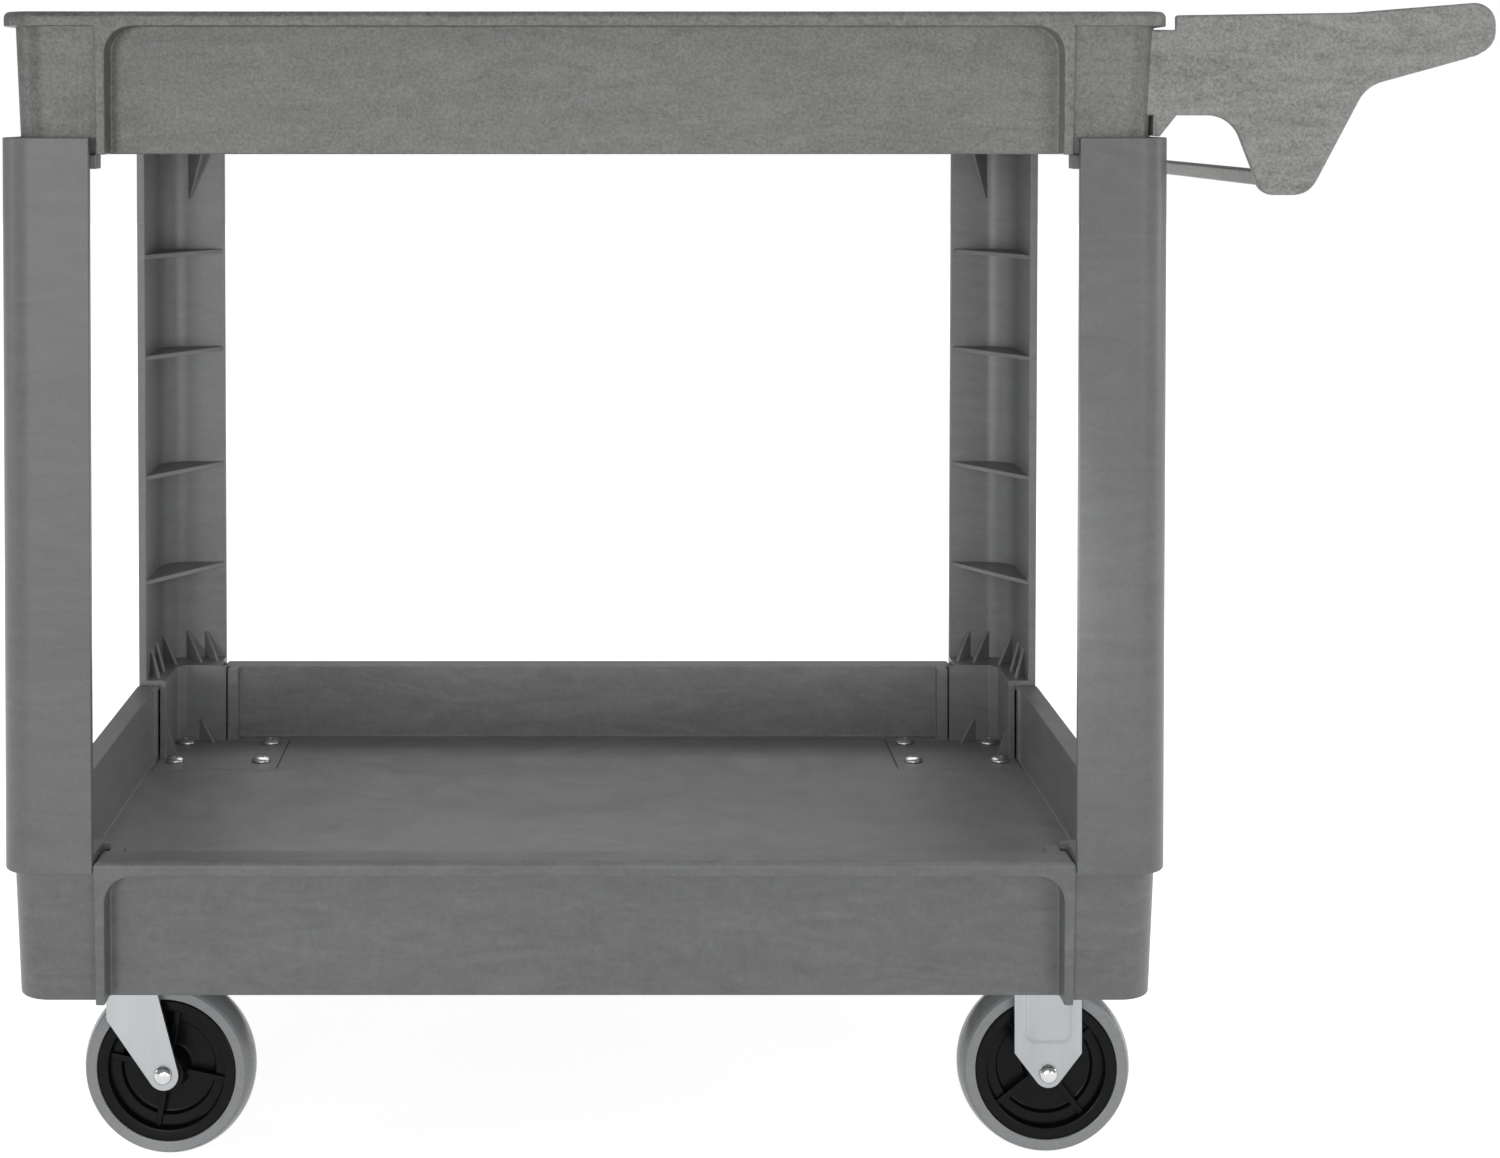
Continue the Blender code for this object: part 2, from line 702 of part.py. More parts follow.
def post_lower_end(post):
    """Ledge on the lower tray's corner, insert walls, foot plate and their gussets."""
    grown = tray_outline(CORNER_INSET_TOP, FIT)
    cut(post, prism("seat", grown, POST_BOTTOM_Z - OVERRUN, LOWER_LEDGE_Z))
    ledge_top = LOWER_LEDGE_Z + LEDGE
    foot_z = POCKET_TOP + FIT
    foot_top = foot_z + FOOT_PLATE
    ledge = ledge_outline(INSERT_X, INSERT_Y, POST_EDGE_X, POST_EDGE_Y, 0, 0)
    end_x = POST_EDGE_X - INSERT_END
    end_y = POST_EDGE_Y - INSERT_TAB
    walls = insert_outline(INSERT_X, INSERT_Y, end_x, end_y, INSERT_CORNER)
    union(
        post,
        prism("ledge", ledge, LOWER_LEDGE_Z, ledge_top),
        prism("walls", walls, foot_top - OVERRUN, ledge_top - OVERRUN / 2),
        prism("foot", foot_outline(), foot_z, foot_top),
    )
    face_y = POST_Y - POST_WALL
    face_x = POST_X - POST_WALL
    bend_x = POST_X - BEND_FIN[0]
    bend_y = POST_Y - BEND_FIN[1]
    tip_z = ledge_top + LEDGE_FIN_HEIGHT
    fins = []
    for place, reach_x, reach_y in LONG_FINS:
        fins.append(fin(POST_X - place, face_y, -reach_x, -reach_y, ledge_top, tip_z))
    reach_x, reach_y = BEND_FIN_REACH
    fins.append(fin(bend_x, bend_y, -reach_x, -reach_y, ledge_top, tip_z))
    reach_x, reach_y = SHORT_FIN_REACH
    for place in SHORT_FINS:
        fins.append(fin(face_x, POST_EDGE_Y + place, -reach_x, -reach_y, ledge_top, tip_z))
    wall_x = INSERT_X - INSERT_WALL
    wall_y = INSERT_Y - INSERT_WALL
    place, reach_x, reach_y, height = LONG_FOOT_FIN
    fins.append(fin(INSERT_X - place, wall_y, -reach_x, -reach_y, foot_top, foot_top + height))
    place, reach, height = SHORT_FOOT_FIN
    fins.append(fin(wall_x, POST_EDGE_Y + place, -reach, 0, foot_top, foot_top + height))
    union(post, *fins)
    holes = bolt_holes(bolt_spots(), CASTER_X, CASTER_Y, foot_z - OVERRUN, foot_top + OVERRUN)
    cut(post, *holes)


def post_upper_end(post):
    """Ledge under the upper tray's skirt, insert walls inside it and the plate under its pocket."""
    skirt_x = LIP_X - CORNER_INSET_BOTTOM - WALL - UPPER_INSERT_FIT
    skirt_y = LIP_Y - CORNER_INSET_BOTTOM - WALL - UPPER_INSERT_FIT
    ledge_z = UPPER_LEDGE_TOP - UPPER_LEDGE
    shift = lean(UPPER_LEDGE_TOP)
    start_x = POST_EDGE_X + shift + FIT
    start_y = POST_EDGE_Y + shift + FIT
    ledge = ledge_outline(skirt_x, skirt_y, start_x, start_y, lean(ledge_z), UPPER_TAB)
    corner = CORNER_RADIUS - WALL - UPPER_INSERT_FIT
    walls = insert_outline(skirt_x, skirt_y, start_x, start_y, corner)
    panel_x = LIP_X - END_RECESS - WALL - UPPER_INSERT_FIT
    plate = [
        (FOOT_EDGE_X, FOOT_EDGE_Y),
        (panel_x, FOOT_EDGE_Y),
        (panel_x, start_y),
        (skirt_x, start_y),
        *corner_arc(skirt_x, skirt_y, corner),
        (start_x, skirt_y),
        (start_x, INSERT_Y),
        (FOOT_EDGE_X, INSERT_Y),
    ]
    union(
        post,
        prism("ledge", ledge, ledge_z, UPPER_LEDGE_TOP),
        prism("walls", walls, UPPER_LEDGE_TOP - OVERRUN, TOP_PLATE_Z - OVERRUN),
        prism("plate", plate, TOP_PLATE_Z - FOOT_PLATE, TOP_PLATE_Z),
    )
    face_y = POST_Y - POST_WALL
    place, reach_x, reach_y = HANGING_FIN
    tip_z = ledge_z - HANGING_FIN_HEIGHT
    union(post, fin(POST_X - place, face_y, -reach_x, -reach_y, ledge_z, tip_z))
    spots = post_bolt_spots(1, 1)
    z0 = TOP_PLATE_Z - FOOT_PLATE - OVERRUN
    cut(post, *bolt_holes(spots, CASTER_X, CASTER_Y, z0, TOP_PLATE_Z + OVERRUN))


def corner_post():
    """One post in the +X +Y corner."""
    section = post_section()
    leaned = [(x + POST_SPLAY, y) for x, y in section]
    post = prism("post", section, POST_BOTTOM_Z, POST_TOP_Z, leaned)
    union(post, *[post_rib(top_z) for top_z in POST_RIB_TOPS])
    post_lower_end(post)
    post_upper_end(post)
    return post


def handle_profile(start_x):
    """Side view of the handle, from the tray out to the tip and back along the top."""
    notch_x = LIP_X + NOTCH_REACH
    notch_z = UPPER_RIM_Z - LIP_HEIGHT - NOTCH_DROP
    corners = [ARM_START, LOBE_BACK, LOBE_FRONT, *ARM_UNDERSIDE, *ARM_TOP]
    return rounded(
        [
            (start_x, ARM_BOTTOM_Z, 0),
            *[(LIP_X + x, UPPER_RIM_Z + z, radius) for x, z, radius in corners],
            (notch_x, UPPER_RIM_Z - NOTCH_DROP, NOTCH_RADIUS),
            (notch_x, notch_z, 0),
            (start_x, notch_z, 0),
        ],
        ARM_STEPS,
    )


def handle_moulding():
    """Side plates, mounting flange, bin, grip bar and the bar between the lobes, in one piece."""
    start_x = LIP_X - ARM_RUN_IN
    flange_bottom = POST_TOP_Z + FLANGE_TRIM
    profile = handle_profile(start_x)
    inner_y = HANDLE_Y - HANDLE_PLATE
    top_z = UPPER_RIM_Z - LIP_HEIGHT - NOTCH_DROP
    seat_top = LIP_X - inset_at(UPPER_RIM_Z - top_z) + FIT
    seat_low = LIP_X - inset_at(UPPER_RIM_Z - flange_bottom) + FIT
    flange = [
        (seat_low, flange_bottom),
        (seat_low + HANDLE_FLANGE, flange_bottom),
        (seat_top + HANDLE_FLANGE, top_z),
        (seat_top, top_z),
    ]
    flange_y = HANDLE_Y - FLANGE_TRIM
    body = side_prism("flange", flange, -flange_y, flange_y)
    bin_start = seat_low + OVERRUN
    bin_under = ARM_BOTTOM_Z + BIN_RISE
    bin_top = UPPER_RIM_Z - BIN_TOP_DROP
    bin_floor = [
        (bin_start, bin_under),
        (BIN_X, bin_under),
        (BIN_X, bin_top),
        (BIN_X - BIN_WALL, bin_top),
        (BIN_X - BIN_WALL, bin_under + BIN_WALL),
        (bin_start, bin_under + BIN_WALL),
    ]
    bin_y = flange_y - FLANGE_TRIM
    union(body, side_prism("bin", bin_floor, -bin_y, bin_y))
    gusset_x = seat_low + HANDLE_FLANGE + GUSSET_REACH
    gusset_low = flange_bottom - FIT
    gusset = [
        (bin_start, ARM_BOTTOM_Z + OVERRUN),
        (bin_start, gusset_low),
        (seat_low + HANDLE_FLANGE, gusset_low),
        (gusset_x, ARM_BOTTOM_Z),
        (gusset_x, ARM_BOTTOM_Z + OVERRUN),
    ]
    tie = [
        (TIE_X, TIE_TOP_Z),
        (TIE_X + TIE_DEPTH, TIE_TOP_Z),
        (TIE_X + TIE_DEPTH, TIE_TOP_Z - TIE_HEIGHT),
        (TIE_X + TIE_HEIGHT / 3, TIE_TOP_Z - TIE_HEIGHT),
    ]
    pad_front = LIP_X + LOBE_FRONT[0] + (LOBE_DROP - TIE_DROP) / 2
    pad_top = TIE_TOP_Z - FIT
    pad = [(TIE_X, pad_top, 0)]
    for x, z, radius in (LOBE_BACK, LOBE_FRONT):
        pad.append((LIP_X + x, UPPER_RIM_Z + z + FIT, radius))
    pad.append((pad_front, pad_top, 0))
    bar_y = inner_y + OVERRUN
    tip_x = LIP_X + HANDLE_REACH
    grip_z = UPPER_RIM_Z + HANDLE_RISE - GRIP_DROP
    grip = along_y(rod("grip", GRIP_RADIUS, -bar_y, bar_y, GRIP_SIDES, math.pi / GRIP_SIDES))
    grip.data.transform(Matrix.Translation((tip_x - GRIP_BACK, 0, grip_z)))
    union(body, side_prism("tie", tie, -bar_y, bar_y), grip)
    for side in (-1, 1):
        union(body, side_prism("plate", profile, side * inner_y, side * HANDLE_Y))
        union(body, side_prism("gusset", gusset, side * (inner_y + FIT), side * (HANDLE_Y - FIT)))
        pad_y = side * (HANDLE_Y - LOBE_PAD)
        union(body, side_prism("pad", rounded(pad), pad_y, side * (HANDLE_Y - FIT)))
    low = tray_outline(CORNER_INSET_BOTTOM, FIT)
    high = tray_outline(CORNER_INSET_TOP, FIT)
    cut(body, prism("tray space", low, UPPER_RIM_Z - TRAY_HEIGHT, UPPER_RIM_Z, high))
    return body


def handle_bolt_places():
    """Middle of each handle bolt's seat on the flange, and its sign across Y."""
    z = UPPER_RIM_Z - WELL_DEPTH / 2
    return [(side * (POST_EDGE_Y + y), z) for side in (-1, 1) for y in HANDLE_BOLTS_Y]


def handle_holes():
    """Cutters along X for the handle's bolts."""
    holes = []
    for y, z in handle_bolt_places():
        hole = rod("hole", BOLT_RADIUS + SHANK_FIT, -ARM_RUN_IN, ARM_RUN_IN, BOLT_SIDES)
        hole.data.transform(Matrix.Rotation(math.pi / 2, 4, "Y"))
        hole.data.transform(Matrix.Translation((LIP_X, y, z)))
        holes.append(hole)
    return holes


def screw(reach):
    """A round-head screw down from Z = 0, the seat of its head."""
    profile = [
        (0, BOLT_HEAD),
        DOME,
        (BOLT_HEAD_RADIUS, FIT),
        (BOLT_RADIUS, FIT),
        (BOLT_RADIUS, -reach),
        (0, -reach),
    ]
    return turned("screw", profile, BOLT_SIDES)


def bolt(grip_length):
    """A round-head bolt down from Z = 0, with its hexagon nut below what it clamps."""
    nut_top = -grip_length - FIT
    nut_low = nut_top - NUT_HEIGHT
    head = [(0, BOLT_HEAD), DOME, (BOLT_HEAD_RADIUS, FIT), (0, FIT)]
    shank = [(0, BOLT_HEAD / 2), (BOLT_RADIUS, BOLT_HEAD / 2), (BOLT_RADIUS, nut_top)]
    nut = [(NUT_RADIUS, nut_top), (NUT_RADIUS, nut_low), (0, nut_low)]
    return union(turned("bolt", head, HEAD_SIDES), turned("shank", shank + nut, BOLT_SIDES))


def sheet_corner(half_width, top_z, sheet, bend, low_z):
    """Cross section of a fork: an upside-down U with bent corners, as Y and Z."""
    outer = rounded([(half_width, low_z, 0), (half_width, top_z, bend), (0, top_z, 0)], 2)
    inner = rounded(
        [
            (half_width - sheet, low_z, 0),
            (half_width - sheet, top_z - sheet, bend - sheet),
            (0, top_z - sheet, 0),
        ]
    )
    outer_half = outer[:-1]
    inner_half = inner[:-1]
    section = outer_half + [(-y, z) for y, z in reversed(outer_half)]
    section += [(-y, z) for y, z in inner_half]
    section += [(y, z) for y, z in reversed(inner_half)]
    return section


def leg_profile(top, tip, tip_radius, shoulder):
    """Side view of a fork leg: from its shoulders down to the round tip about the axle."""
    tip_x, tip_z = tip
    (back_x, back_z), (front_x, front_z) = shoulder
    points = [(back_x, top), (back_x, back_z)]
    start = tangent_angle(tip, tip_radius, shoulder[0], 1)
    end = tangent_angle(tip, tip_radius, shoulder[1], -1)
    if end < start:
        end += 2 * math.pi
    for k in range(TIP_STEPS + 1):
        angle = start + (end - start) * k / TIP_STEPS
        points.append((tip_x + tip_radius * math.cos(angle), tip_z + tip_radius * math.sin(angle)))
    points += [(front_x, front_z), (front_x, top)]
    return points


def tangent_angle(centre, radius, point, side):
    """Angle on a circle where the line from a point outside touches it, on one side."""
    away = Vector(point) - Vector(centre)
    return math.atan2(away.y, away.x) + side * math.acos(radius / away.length)


def along_y(made):
    """Turns a piece made along Z so that it lies along Y."""
    made.data.transform(Matrix.Rotation(math.pi / 2, 4, "X"))
    return made


def axle_hole(x, z):
    hole = along_y(rod("hole", AXLE_RADIUS + SHANK_FIT, -FORK_BLANK, FORK_BLANK, AXLE_SIDES))
    hole.data.transform(Matrix.Translation((x, 0, z)))
    return hole


def caster_plate():
    """The plate that bolts under the tray, with its four holes."""
    x = TOP_PLATE_X / 2
    y = TOP_PLATE_Y / 2
    corner = TOP_PLATE_CORNER
    outline = rounded([(-x, -y, corner), (x, -y, corner), (x, y, corner), (-x, y, corner)], 2)
    plate = prism("plate", outline, MOUNT_HEIGHT - TOP_PLATE, MOUNT_HEIGHT)
    z0 = MOUNT_HEIGHT - TOP_PLATE - OVERRUN
    return cut(plate, *bolt_holes(bolt_spots(), 0, 0, z0, MOUNT_HEIGHT + OVERRUN))


def top_plate():
    """Top plate of a swivel caster, with its kingpin."""
    crown_under = CROWN_TOP - FORK_SHEET - 2 * CROWN_STEP
    head_top = crown_under - FIT
    profile = [
        (0, MOUNT_HEIGHT - TOP_PLATE / 2),
        (KINGPIN_RADIUS, MOUNT_HEIGHT - TOP_PLATE / 2),
        (KINGPIN_RADIUS, head_top),
        (KINGPIN_HEAD_RADIUS, head_top),
        (KINGPIN_HEAD_RADIUS * 0.8, head_top - KINGPIN_HEAD),
        (0, head_top - KINGPIN_HEAD),
    ]
    return union(caster_plate(), turned("kingpin", profile, AXLE_SIDES))


def ball_race():
    """The pressed race between a swivel caster's plate and its fork."""
    top_z = MOUNT_HEIGHT - TOP_PLATE - FIT
    low_z = CROWN_TOP + FIT
    middle_z = (top_z + low_z) / 2
    bore = KINGPIN_RADIUS + SHANK_FIT
    profile = [
        (bore, low_z),
        (RACE_LOWER_RADIUS, low_z),
        (RACE_RADIUS, middle_z),
        (RACE_LOWER_RADIUS, top_z),
        (bore, top_z),
    ]
    return turned("race", profile, RACE_SIDES)


def raked_fork():
    """A swivel caster's fork about its swivel axis, with the axle trailing towards +X."""
    section = sheet_corner(FORK_HALF_WIDTH, CROWN_TOP - CROWN_STEP, FORK_SHEET, FORK_BEND, FORK_BLANK_Z)
    legs = end_prism("fork", section, -FORK_BLANK, FORK_BLANK)
    profile = leg_profile(
        CROWN_TOP + OVERRUN,
        (TRAIL, WHEEL_RADIUS),
        FORK_TIP_RADIUS,
        ((-FORK_BACK, FORK_KNEE_Z), (FORK_FRONT, FORK_SHOULDER_Z)),
    )
    combine(legs, side_prism("side", profile, -FORK_BLANK, FORK_BLANK), "INTERSECT")
    crown_under = CROWN_TOP - FORK_SHEET - 2 * CROWN_STEP
    union(legs, rod("crown", RACE_RADIUS, crown_under, CROWN_TOP, RACE_SIDES))
    bore = rod("bore", KINGPIN_RADIUS + SHANK_FIT, crown_under - OVERRUN, CROWN_TOP + OVERRUN, AXLE_SIDES)
    return cut(legs, bore, axle_hole(TRAIL, WHEEL_RADIUS))


def rigid_frame():
    """A rigid caster's frame about its axle: top plate and two pressed legs with raised panels."""
    leg_top = MOUNT_HEIGHT - TOP_PLATE / 2
    section = sheet_corner(FORK_HALF_WIDTH, leg_top, FORK_SHEET, FORK_BEND, FORK_BLANK_Z)
    legs = end_prism("frame", section, -FORK_BLANK, FORK_BLANK)
    shoulders = ((-RIGID_HALF, RIGID_SHOULDER_Z), (RIGID_HALF, RIGID_SHOULDER_Z))
    profile = leg_profile(leg_top + OVERRUN, (0, WHEEL_RADIUS), RIGID_TIP_RADIUS, shoulders)
    combine(legs, side_prism("side", profile, -FORK_BLANK, FORK_BLANK), "INTERSECT")
    panel = rounded(
        [
            (-EMBOSS_HALF, EMBOSS_BOTTOM_Z, EMBOSS_CORNER),
            (EMBOSS_HALF, EMBOSS_BOTTOM_Z, EMBOSS_CORNER),
            (EMBOSS_HALF, EMBOSS_TOP_Z, EMBOSS_CORNER),
            (-EMBOSS_HALF, EMBOSS_TOP_Z, EMBOSS_CORNER),
        ]
    )
    for side in (-1, 1):
        face = side * FORK_HALF_WIDTH
        union(legs, side_prism("panel", panel, face - side * FORK_SHEET / 2, face + side * EMBOSS))
    union(legs, caster_plate())
    return cut(legs, axle_hole(0, WHEEL_RADIUS))


def axle():
    """Axle with a domed head on each side, along Y."""
    seat = FORK_HALF_WIDTH + FIT
    half = [
        (AXLE_RADIUS, seat),
        (AXLE_HEAD_RADIUS, seat),
        (AXLE_HEAD_RADIUS * DOME_RATIO, seat + AXLE_HEAD * DOME_RATIO),
        (0, seat + AXLE_HEAD),
    ]
    profile = [(r, -z) for r, z in reversed(half)] + half
    return along_y(turned("axle", profile, AXLE_SIDES))


def bushing():
    """Plain bearing tube between the axle and the hub."""
    half = FORK_HALF_WIDTH - FORK_SHEET - FIT
    inner = AXLE_RADIUS + FIT
    profile = [(inner, -half), (BUSHING_RADIUS, -half), (BUSHING_RADIUS, half), (inner, half)]
    return along_y(turned("bushing", profile, AXLE_SIDES))


def half_facet():
    """Turn that puts a flat, not a corner, of the tyre on the floor."""
    return math.pi / WHEEL_SIDES


def across_flats(radius):
    """Corner radius of a faceted ring whose flats lie at the radius."""
    return radius / math.cos(math.pi / WHEEL_SIDES)


def hub(turn):
    """Wheel hub along Y: barrel, web, rim and four radial ribs on each side, at an angle."""
    barrel_half = FORK_HALF_WIDTH - FORK_SHEET - 2 * FIT
    bore = BUSHING_RADIUS + FIT
    rim = TYRE_INNER - FIT
    half = [
        (RIM_INNER, WEB_HALF),
        (RIM_INNER, RIM_HALF),
        (rim, RIM_HALF),
    ]
    upper = [(bore, barrel_half), (BARREL_RADIUS, barrel_half), (BARREL_RADIUS, WEB_HALF), *half]
    lower = [(r, -z) for r, z in reversed(upper)]
    made = turned("hub", upper + lower, WHEEL_SIDES, half_facet())
    for i in range(HUB_RIBS):
        rib = box(
            "rib",
            (BARREL_RADIUS - OVERRUN, RIM_INNER + OVERRUN),
            (-HUB_RIB / 2, HUB_RIB / 2),
            (-HUB_RIB_HALF, HUB_RIB_HALF),
        )
        rib.data.transform(Matrix.Rotation(turn + 2 * math.pi * i / HUB_RIBS, 4, "Z"))
        union(made, rib)
    return along_y(made)


def tyre():
    """Tyre ring along Y, its flats at the wheel's radius."""
    inner = TYRE_INNER
    half = [
        (inner, TYRE_HALF_WIDTH - SIDEWALL_DISH),
        (SIDEWALL_RADIUS, TYRE_HALF_WIDTH),
        (WHEEL_RADIUS, TREAD_HALF),
    ]
    ring = [(across_flats(r), z) for r, z in half] + [(across_flats(r), -z) for r, z in reversed(half)]
    return along_y(turned("tyre", ring, WHEEL_SIDES, half_facet()))


def wheel(prefix, holder, looks, hub_turn):
    """Bushing, hub and tyre on an empty at the axle."""
    finish(bushing(), prefix + "_bushing", looks["bushing"], holder, smooth=True)
    finish(hub(hub_turn), prefix + "_hub", looks["hub"], holder, smooth=True)
    finish(tyre(), prefix + "_tyre", looks["tyre"], holder, smooth=True)


def swivel_caster(name, cart, sy, looks):
    """A swivel caster under the left end of the cart."""
    mount = empty(name + "_mount", cart, (-CASTER_X, sy * CASTER_Y, 0))
    finish(top_plate(), name + "_top_plate", looks["zinc"], mount)
    finish(ball_race(), name + "_ball_race", looks["zinc"], mount, smooth=True)
    swivel = empty(name + "_swivel", mount, turn=REST_STEER)
    finish(raked_fork(), name + "_fork", looks["zinc"], swivel)
    finish(axle(), name + "_axle", looks["chrome"], swivel, (TRAIL, 0, WHEEL_RADIUS), smooth=True)
    turning = empty(name + "_wheel", swivel, (TRAIL, 0, WHEEL_RADIUS))
    wheel(name, turning, looks, SWIVEL_HUB_TURN)


def rigid_caster(name, cart, sy, looks):
    """A rigid caster under the handle end of the cart."""
    mount = empty(name + "_mount", cart, (CASTER_X, sy * CASTER_Y, 0))
    finish(rigid_frame(), name + "_frame", looks["zinc"], mount)
    finish(axle(), name + "_axle", looks["chrome"], mount, (0, 0, WHEEL_RADIUS), smooth=True)
    turning = empty(name + "_wheel", mount, (0, 0, WHEEL_RADIUS))
    wheel(name, turning, looks, RIGID_HUB_TURN)


def add_bolts(cart, looks):
    """Four bolts through each foot plate, and two through each upper pocket."""
    foot_seat = LOWER_FLOOR_TOP
    foot_grip = foot_seat - (MOUNT_HEIGHT - TOP_PLATE)
    pocket_seat = UPPER_RIM_Z - WELL_DEPTH - POCKET_DEPTH
    pocket_grip = pocket_seat - (TOP_PLATE_Z - FOOT_PLATE)
    for corner, (sx, sy) in CORNERS.items():
        x = sx * CASTER_X
        y = sy * CASTER_Y
        for i, (dx, dy) in enumerate(bolt_spots(), 1):
            name = f"caster_bolt_{corner}_{i}"
            place = (x + dx, y + dy, foot_seat)
            finish(bolt(foot_grip), name, looks["bolt"], cart, place, smooth=True)
        for i, (dx, dy) in enumerate(post_bolt_spots(sx, sy), 1):
            name = f"post_bolt_{corner}_{i}"
            place = (x + dx, y + dy, pocket_seat)
            finish(screw(pocket_grip + SCREW_TAIL), name, looks["bolt"], cart, place, smooth=True)


def add_handle(cart, looks):
    """The handle moulding and its four bolts, which end flush in the tray's wall."""
    finish(cut(handle_moulding(), *handle_holes()), "handle", looks["handle"], cart)
    slack = inset_at(BOLT_HEAD_RADIUS) - inset_at(0)
    for i, (y, z) in enumerate(handle_bolt_places(), 1):
        wall_face = LIP_X - inset_at(UPPER_RIM_Z - z)
        made = screw(WALL - FIT + HANDLE_FLANGE + slack)
        made.data.transform(Matrix.Rotation(math.pi / 2, 4, "Y"))
        seat = (wall_face + FIT + HANDLE_FLANGE + slack, y, z)
        finish(made, f"handle_bolt_{i}", looks["bolt"], cart, seat, smooth=True)


def make_looks():
    return {
        "tray": material("grey foam plastic", (0.165, 0.168, 0.166), 0.55),
        "handle": material("light grey foam plastic", (0.22, 0.22, 0.21), 0.55),
        "zinc": material("bright zinc", (0.62, 0.64, 0.66), 0.32, 0.9),
        "chrome": material("chrome", (0.75, 0.76, 0.78), 0.12, 1.0),
        "bolt": material("plated steel", (0.45, 0.46, 0.47), 0.35, 0.9),
        "hub": material("black polypropylene", (0.012, 0.013, 0.014), 0.42),
        "tyre": material("grey rubber", (0.33, 0.34, 0.35), 0.6),
        "bushing": material("white nylon", (0.6, 0.6, 0.57), 0.5),
    }


def main():
    for old in list(bpy.data.objects):
        bpy.data.objects.remove(old)
    looks = make_looks()
    cart = empty("cart", location=(ORIGIN_X, 0, 0))
    upper = cut(tray(UPPER_RIM_Z, False), *handle_holes())
    finish(upper, "upper_tray", looks["tray"], cart)
    finish(tray(LOWER_RIM_Z, True), "lower_tray", looks["tray"], cart)
    for corner, (sx, sy) in CORNERS.items():
        finish(mirrored(corner_post(), sx, sy), "post_" + corner, looks["tray"], cart)
    add_handle(cart, looks)
    add_bolts(cart, looks)
    for side, sy in (("front", -1), ("back", 1)):
        swivel_caster("swivel_caster_" + side, cart, sy, looks)
        rigid_caster("rigid_caster_" + side, cart, sy, looks)


main()
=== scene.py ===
"""Looks of the utility cart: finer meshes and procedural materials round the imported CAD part.

Metres, +Z up, the handle at +X. The pieces are made about the middle of the trays, as the CAD
pieces are, and ORIGIN_X carries them to the part's own origin.
"""

import math

import bmesh
import bpy
from mathutils import Matrix, Vector


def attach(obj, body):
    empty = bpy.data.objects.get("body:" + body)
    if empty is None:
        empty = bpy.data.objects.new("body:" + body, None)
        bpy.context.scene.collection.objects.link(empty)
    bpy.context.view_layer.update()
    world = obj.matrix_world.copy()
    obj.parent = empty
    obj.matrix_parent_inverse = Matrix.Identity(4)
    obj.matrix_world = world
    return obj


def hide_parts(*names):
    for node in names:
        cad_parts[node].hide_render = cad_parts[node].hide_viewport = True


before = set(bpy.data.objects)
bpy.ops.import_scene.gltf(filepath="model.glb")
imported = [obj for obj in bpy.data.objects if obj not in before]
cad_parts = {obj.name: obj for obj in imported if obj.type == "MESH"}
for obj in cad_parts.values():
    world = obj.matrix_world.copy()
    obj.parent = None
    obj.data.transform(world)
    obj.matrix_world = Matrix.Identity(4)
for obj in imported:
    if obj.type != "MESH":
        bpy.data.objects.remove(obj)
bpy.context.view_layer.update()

# Clearances
FIT = 0.0003
SHANK_FIT = 0.0005
POCKET_FIT = 0.0008
OVERRUN = 0.002

# Trays
LIP_X = 0.4175
LIP_Y = 0.3175
LIP_HEIGHT = 0.0105
LIP_CORNER = 0.025
LIP_TOP_ROUND = 0.0042
LIP_LOW_ROUND = 0.0008
LIP_END_ROUND = 0.0045  # end of the lower tray's lip, beside a post
TRAY_HEIGHT = 0.102
WELL_DEPTH = 0.067
WALL = 0.006
FLOOR = 0.0057
LONG_RECESS = 0.020
END_RECESS = 0.013
ARCH = 0.0195  # upper corner of a side's recess
CORNER_INSET_TOP = 0.0067
CORNER_INSET_BOTTOM = 0.0105
CORNER_RADIUS = 0.025
FLANGE = 0.0077
FLANGE_OUTER_DRAFT = 0.0018
FLANGE_INNER_DRAFT = 0.0007
BAND_WIDTH = 0.010
BAND_GAP = 0.006
LONG_BAND_DEPTH = 0.014
END_BAND_DEPTH = 0.0025
TRAY_EDGE = 0.0011
TRAY_FILLET = 0.0016
WELL_ROUND = 0.0012
WELL_EDGE = 0.0010
TRAY_RIB = 0.004
UPPER_RIB_DEPTH = 0.020
LOWER_RIB_DEPTH = 0.018
TRAY_RIB_PITCH = 0.147
TRAY_RIB_SLOPE = 0.76
SPLIT_PITCH = 0.09
SPLIT_START = 0.13  # share of the pitch that keeps the planes off the moulding's own edges

# Posts
POST_WALL = 0.007
POST_CORNER = 0.025
POST_SPLAY = 0.0025
POST_EDGE = 0.0008
POST_END_EDGE = 0.0007
LEDGE = 0.009
UPPER_LEDGE = 0.010
UPPER_TAB = 0.004
POST_RIB = 0.004
POST_RIB_TOPS = (0.333, 0.430, 0.541, 0.635)
INSERT_WALL = 0.006
INSERT_CHAMFER = 0.0075
INSERT_CORNER = 0.002
INSERT_BEND = 0.003
INSERT_TAB = 0.002
INSERT_END = 0.005
UPPER_INSERT_FIT = 0.001
FOOT_PLATE = 0.005
FOOT_CORNER = 0.008
FIN = 0.003
FIN_TIP = 0.0006
LEDGE_FIN_HEIGHT = 0.025
LONG_FINS = ((0.047, 0.014, 0.019), (0.029, 0.017, 0.023))
BEND_FIN = (0.0085, 0.0235)
BEND_FIN_REACH = (0.016, 0.020)
SHORT_FINS = (0.050, 0.0235)
SHORT_FIN_REACH = (0.010, 0.013)
LONG_FOOT_FIN = (0.0285, 0.0137, 0.0104, 0.020)
SHORT_FOOT_FIN = (0.0085, 0.0090, 0.0235)
HANGING_FIN = (0.031, 0.015, 0.020)
HANGING_FIN_HEIGHT = 0.045

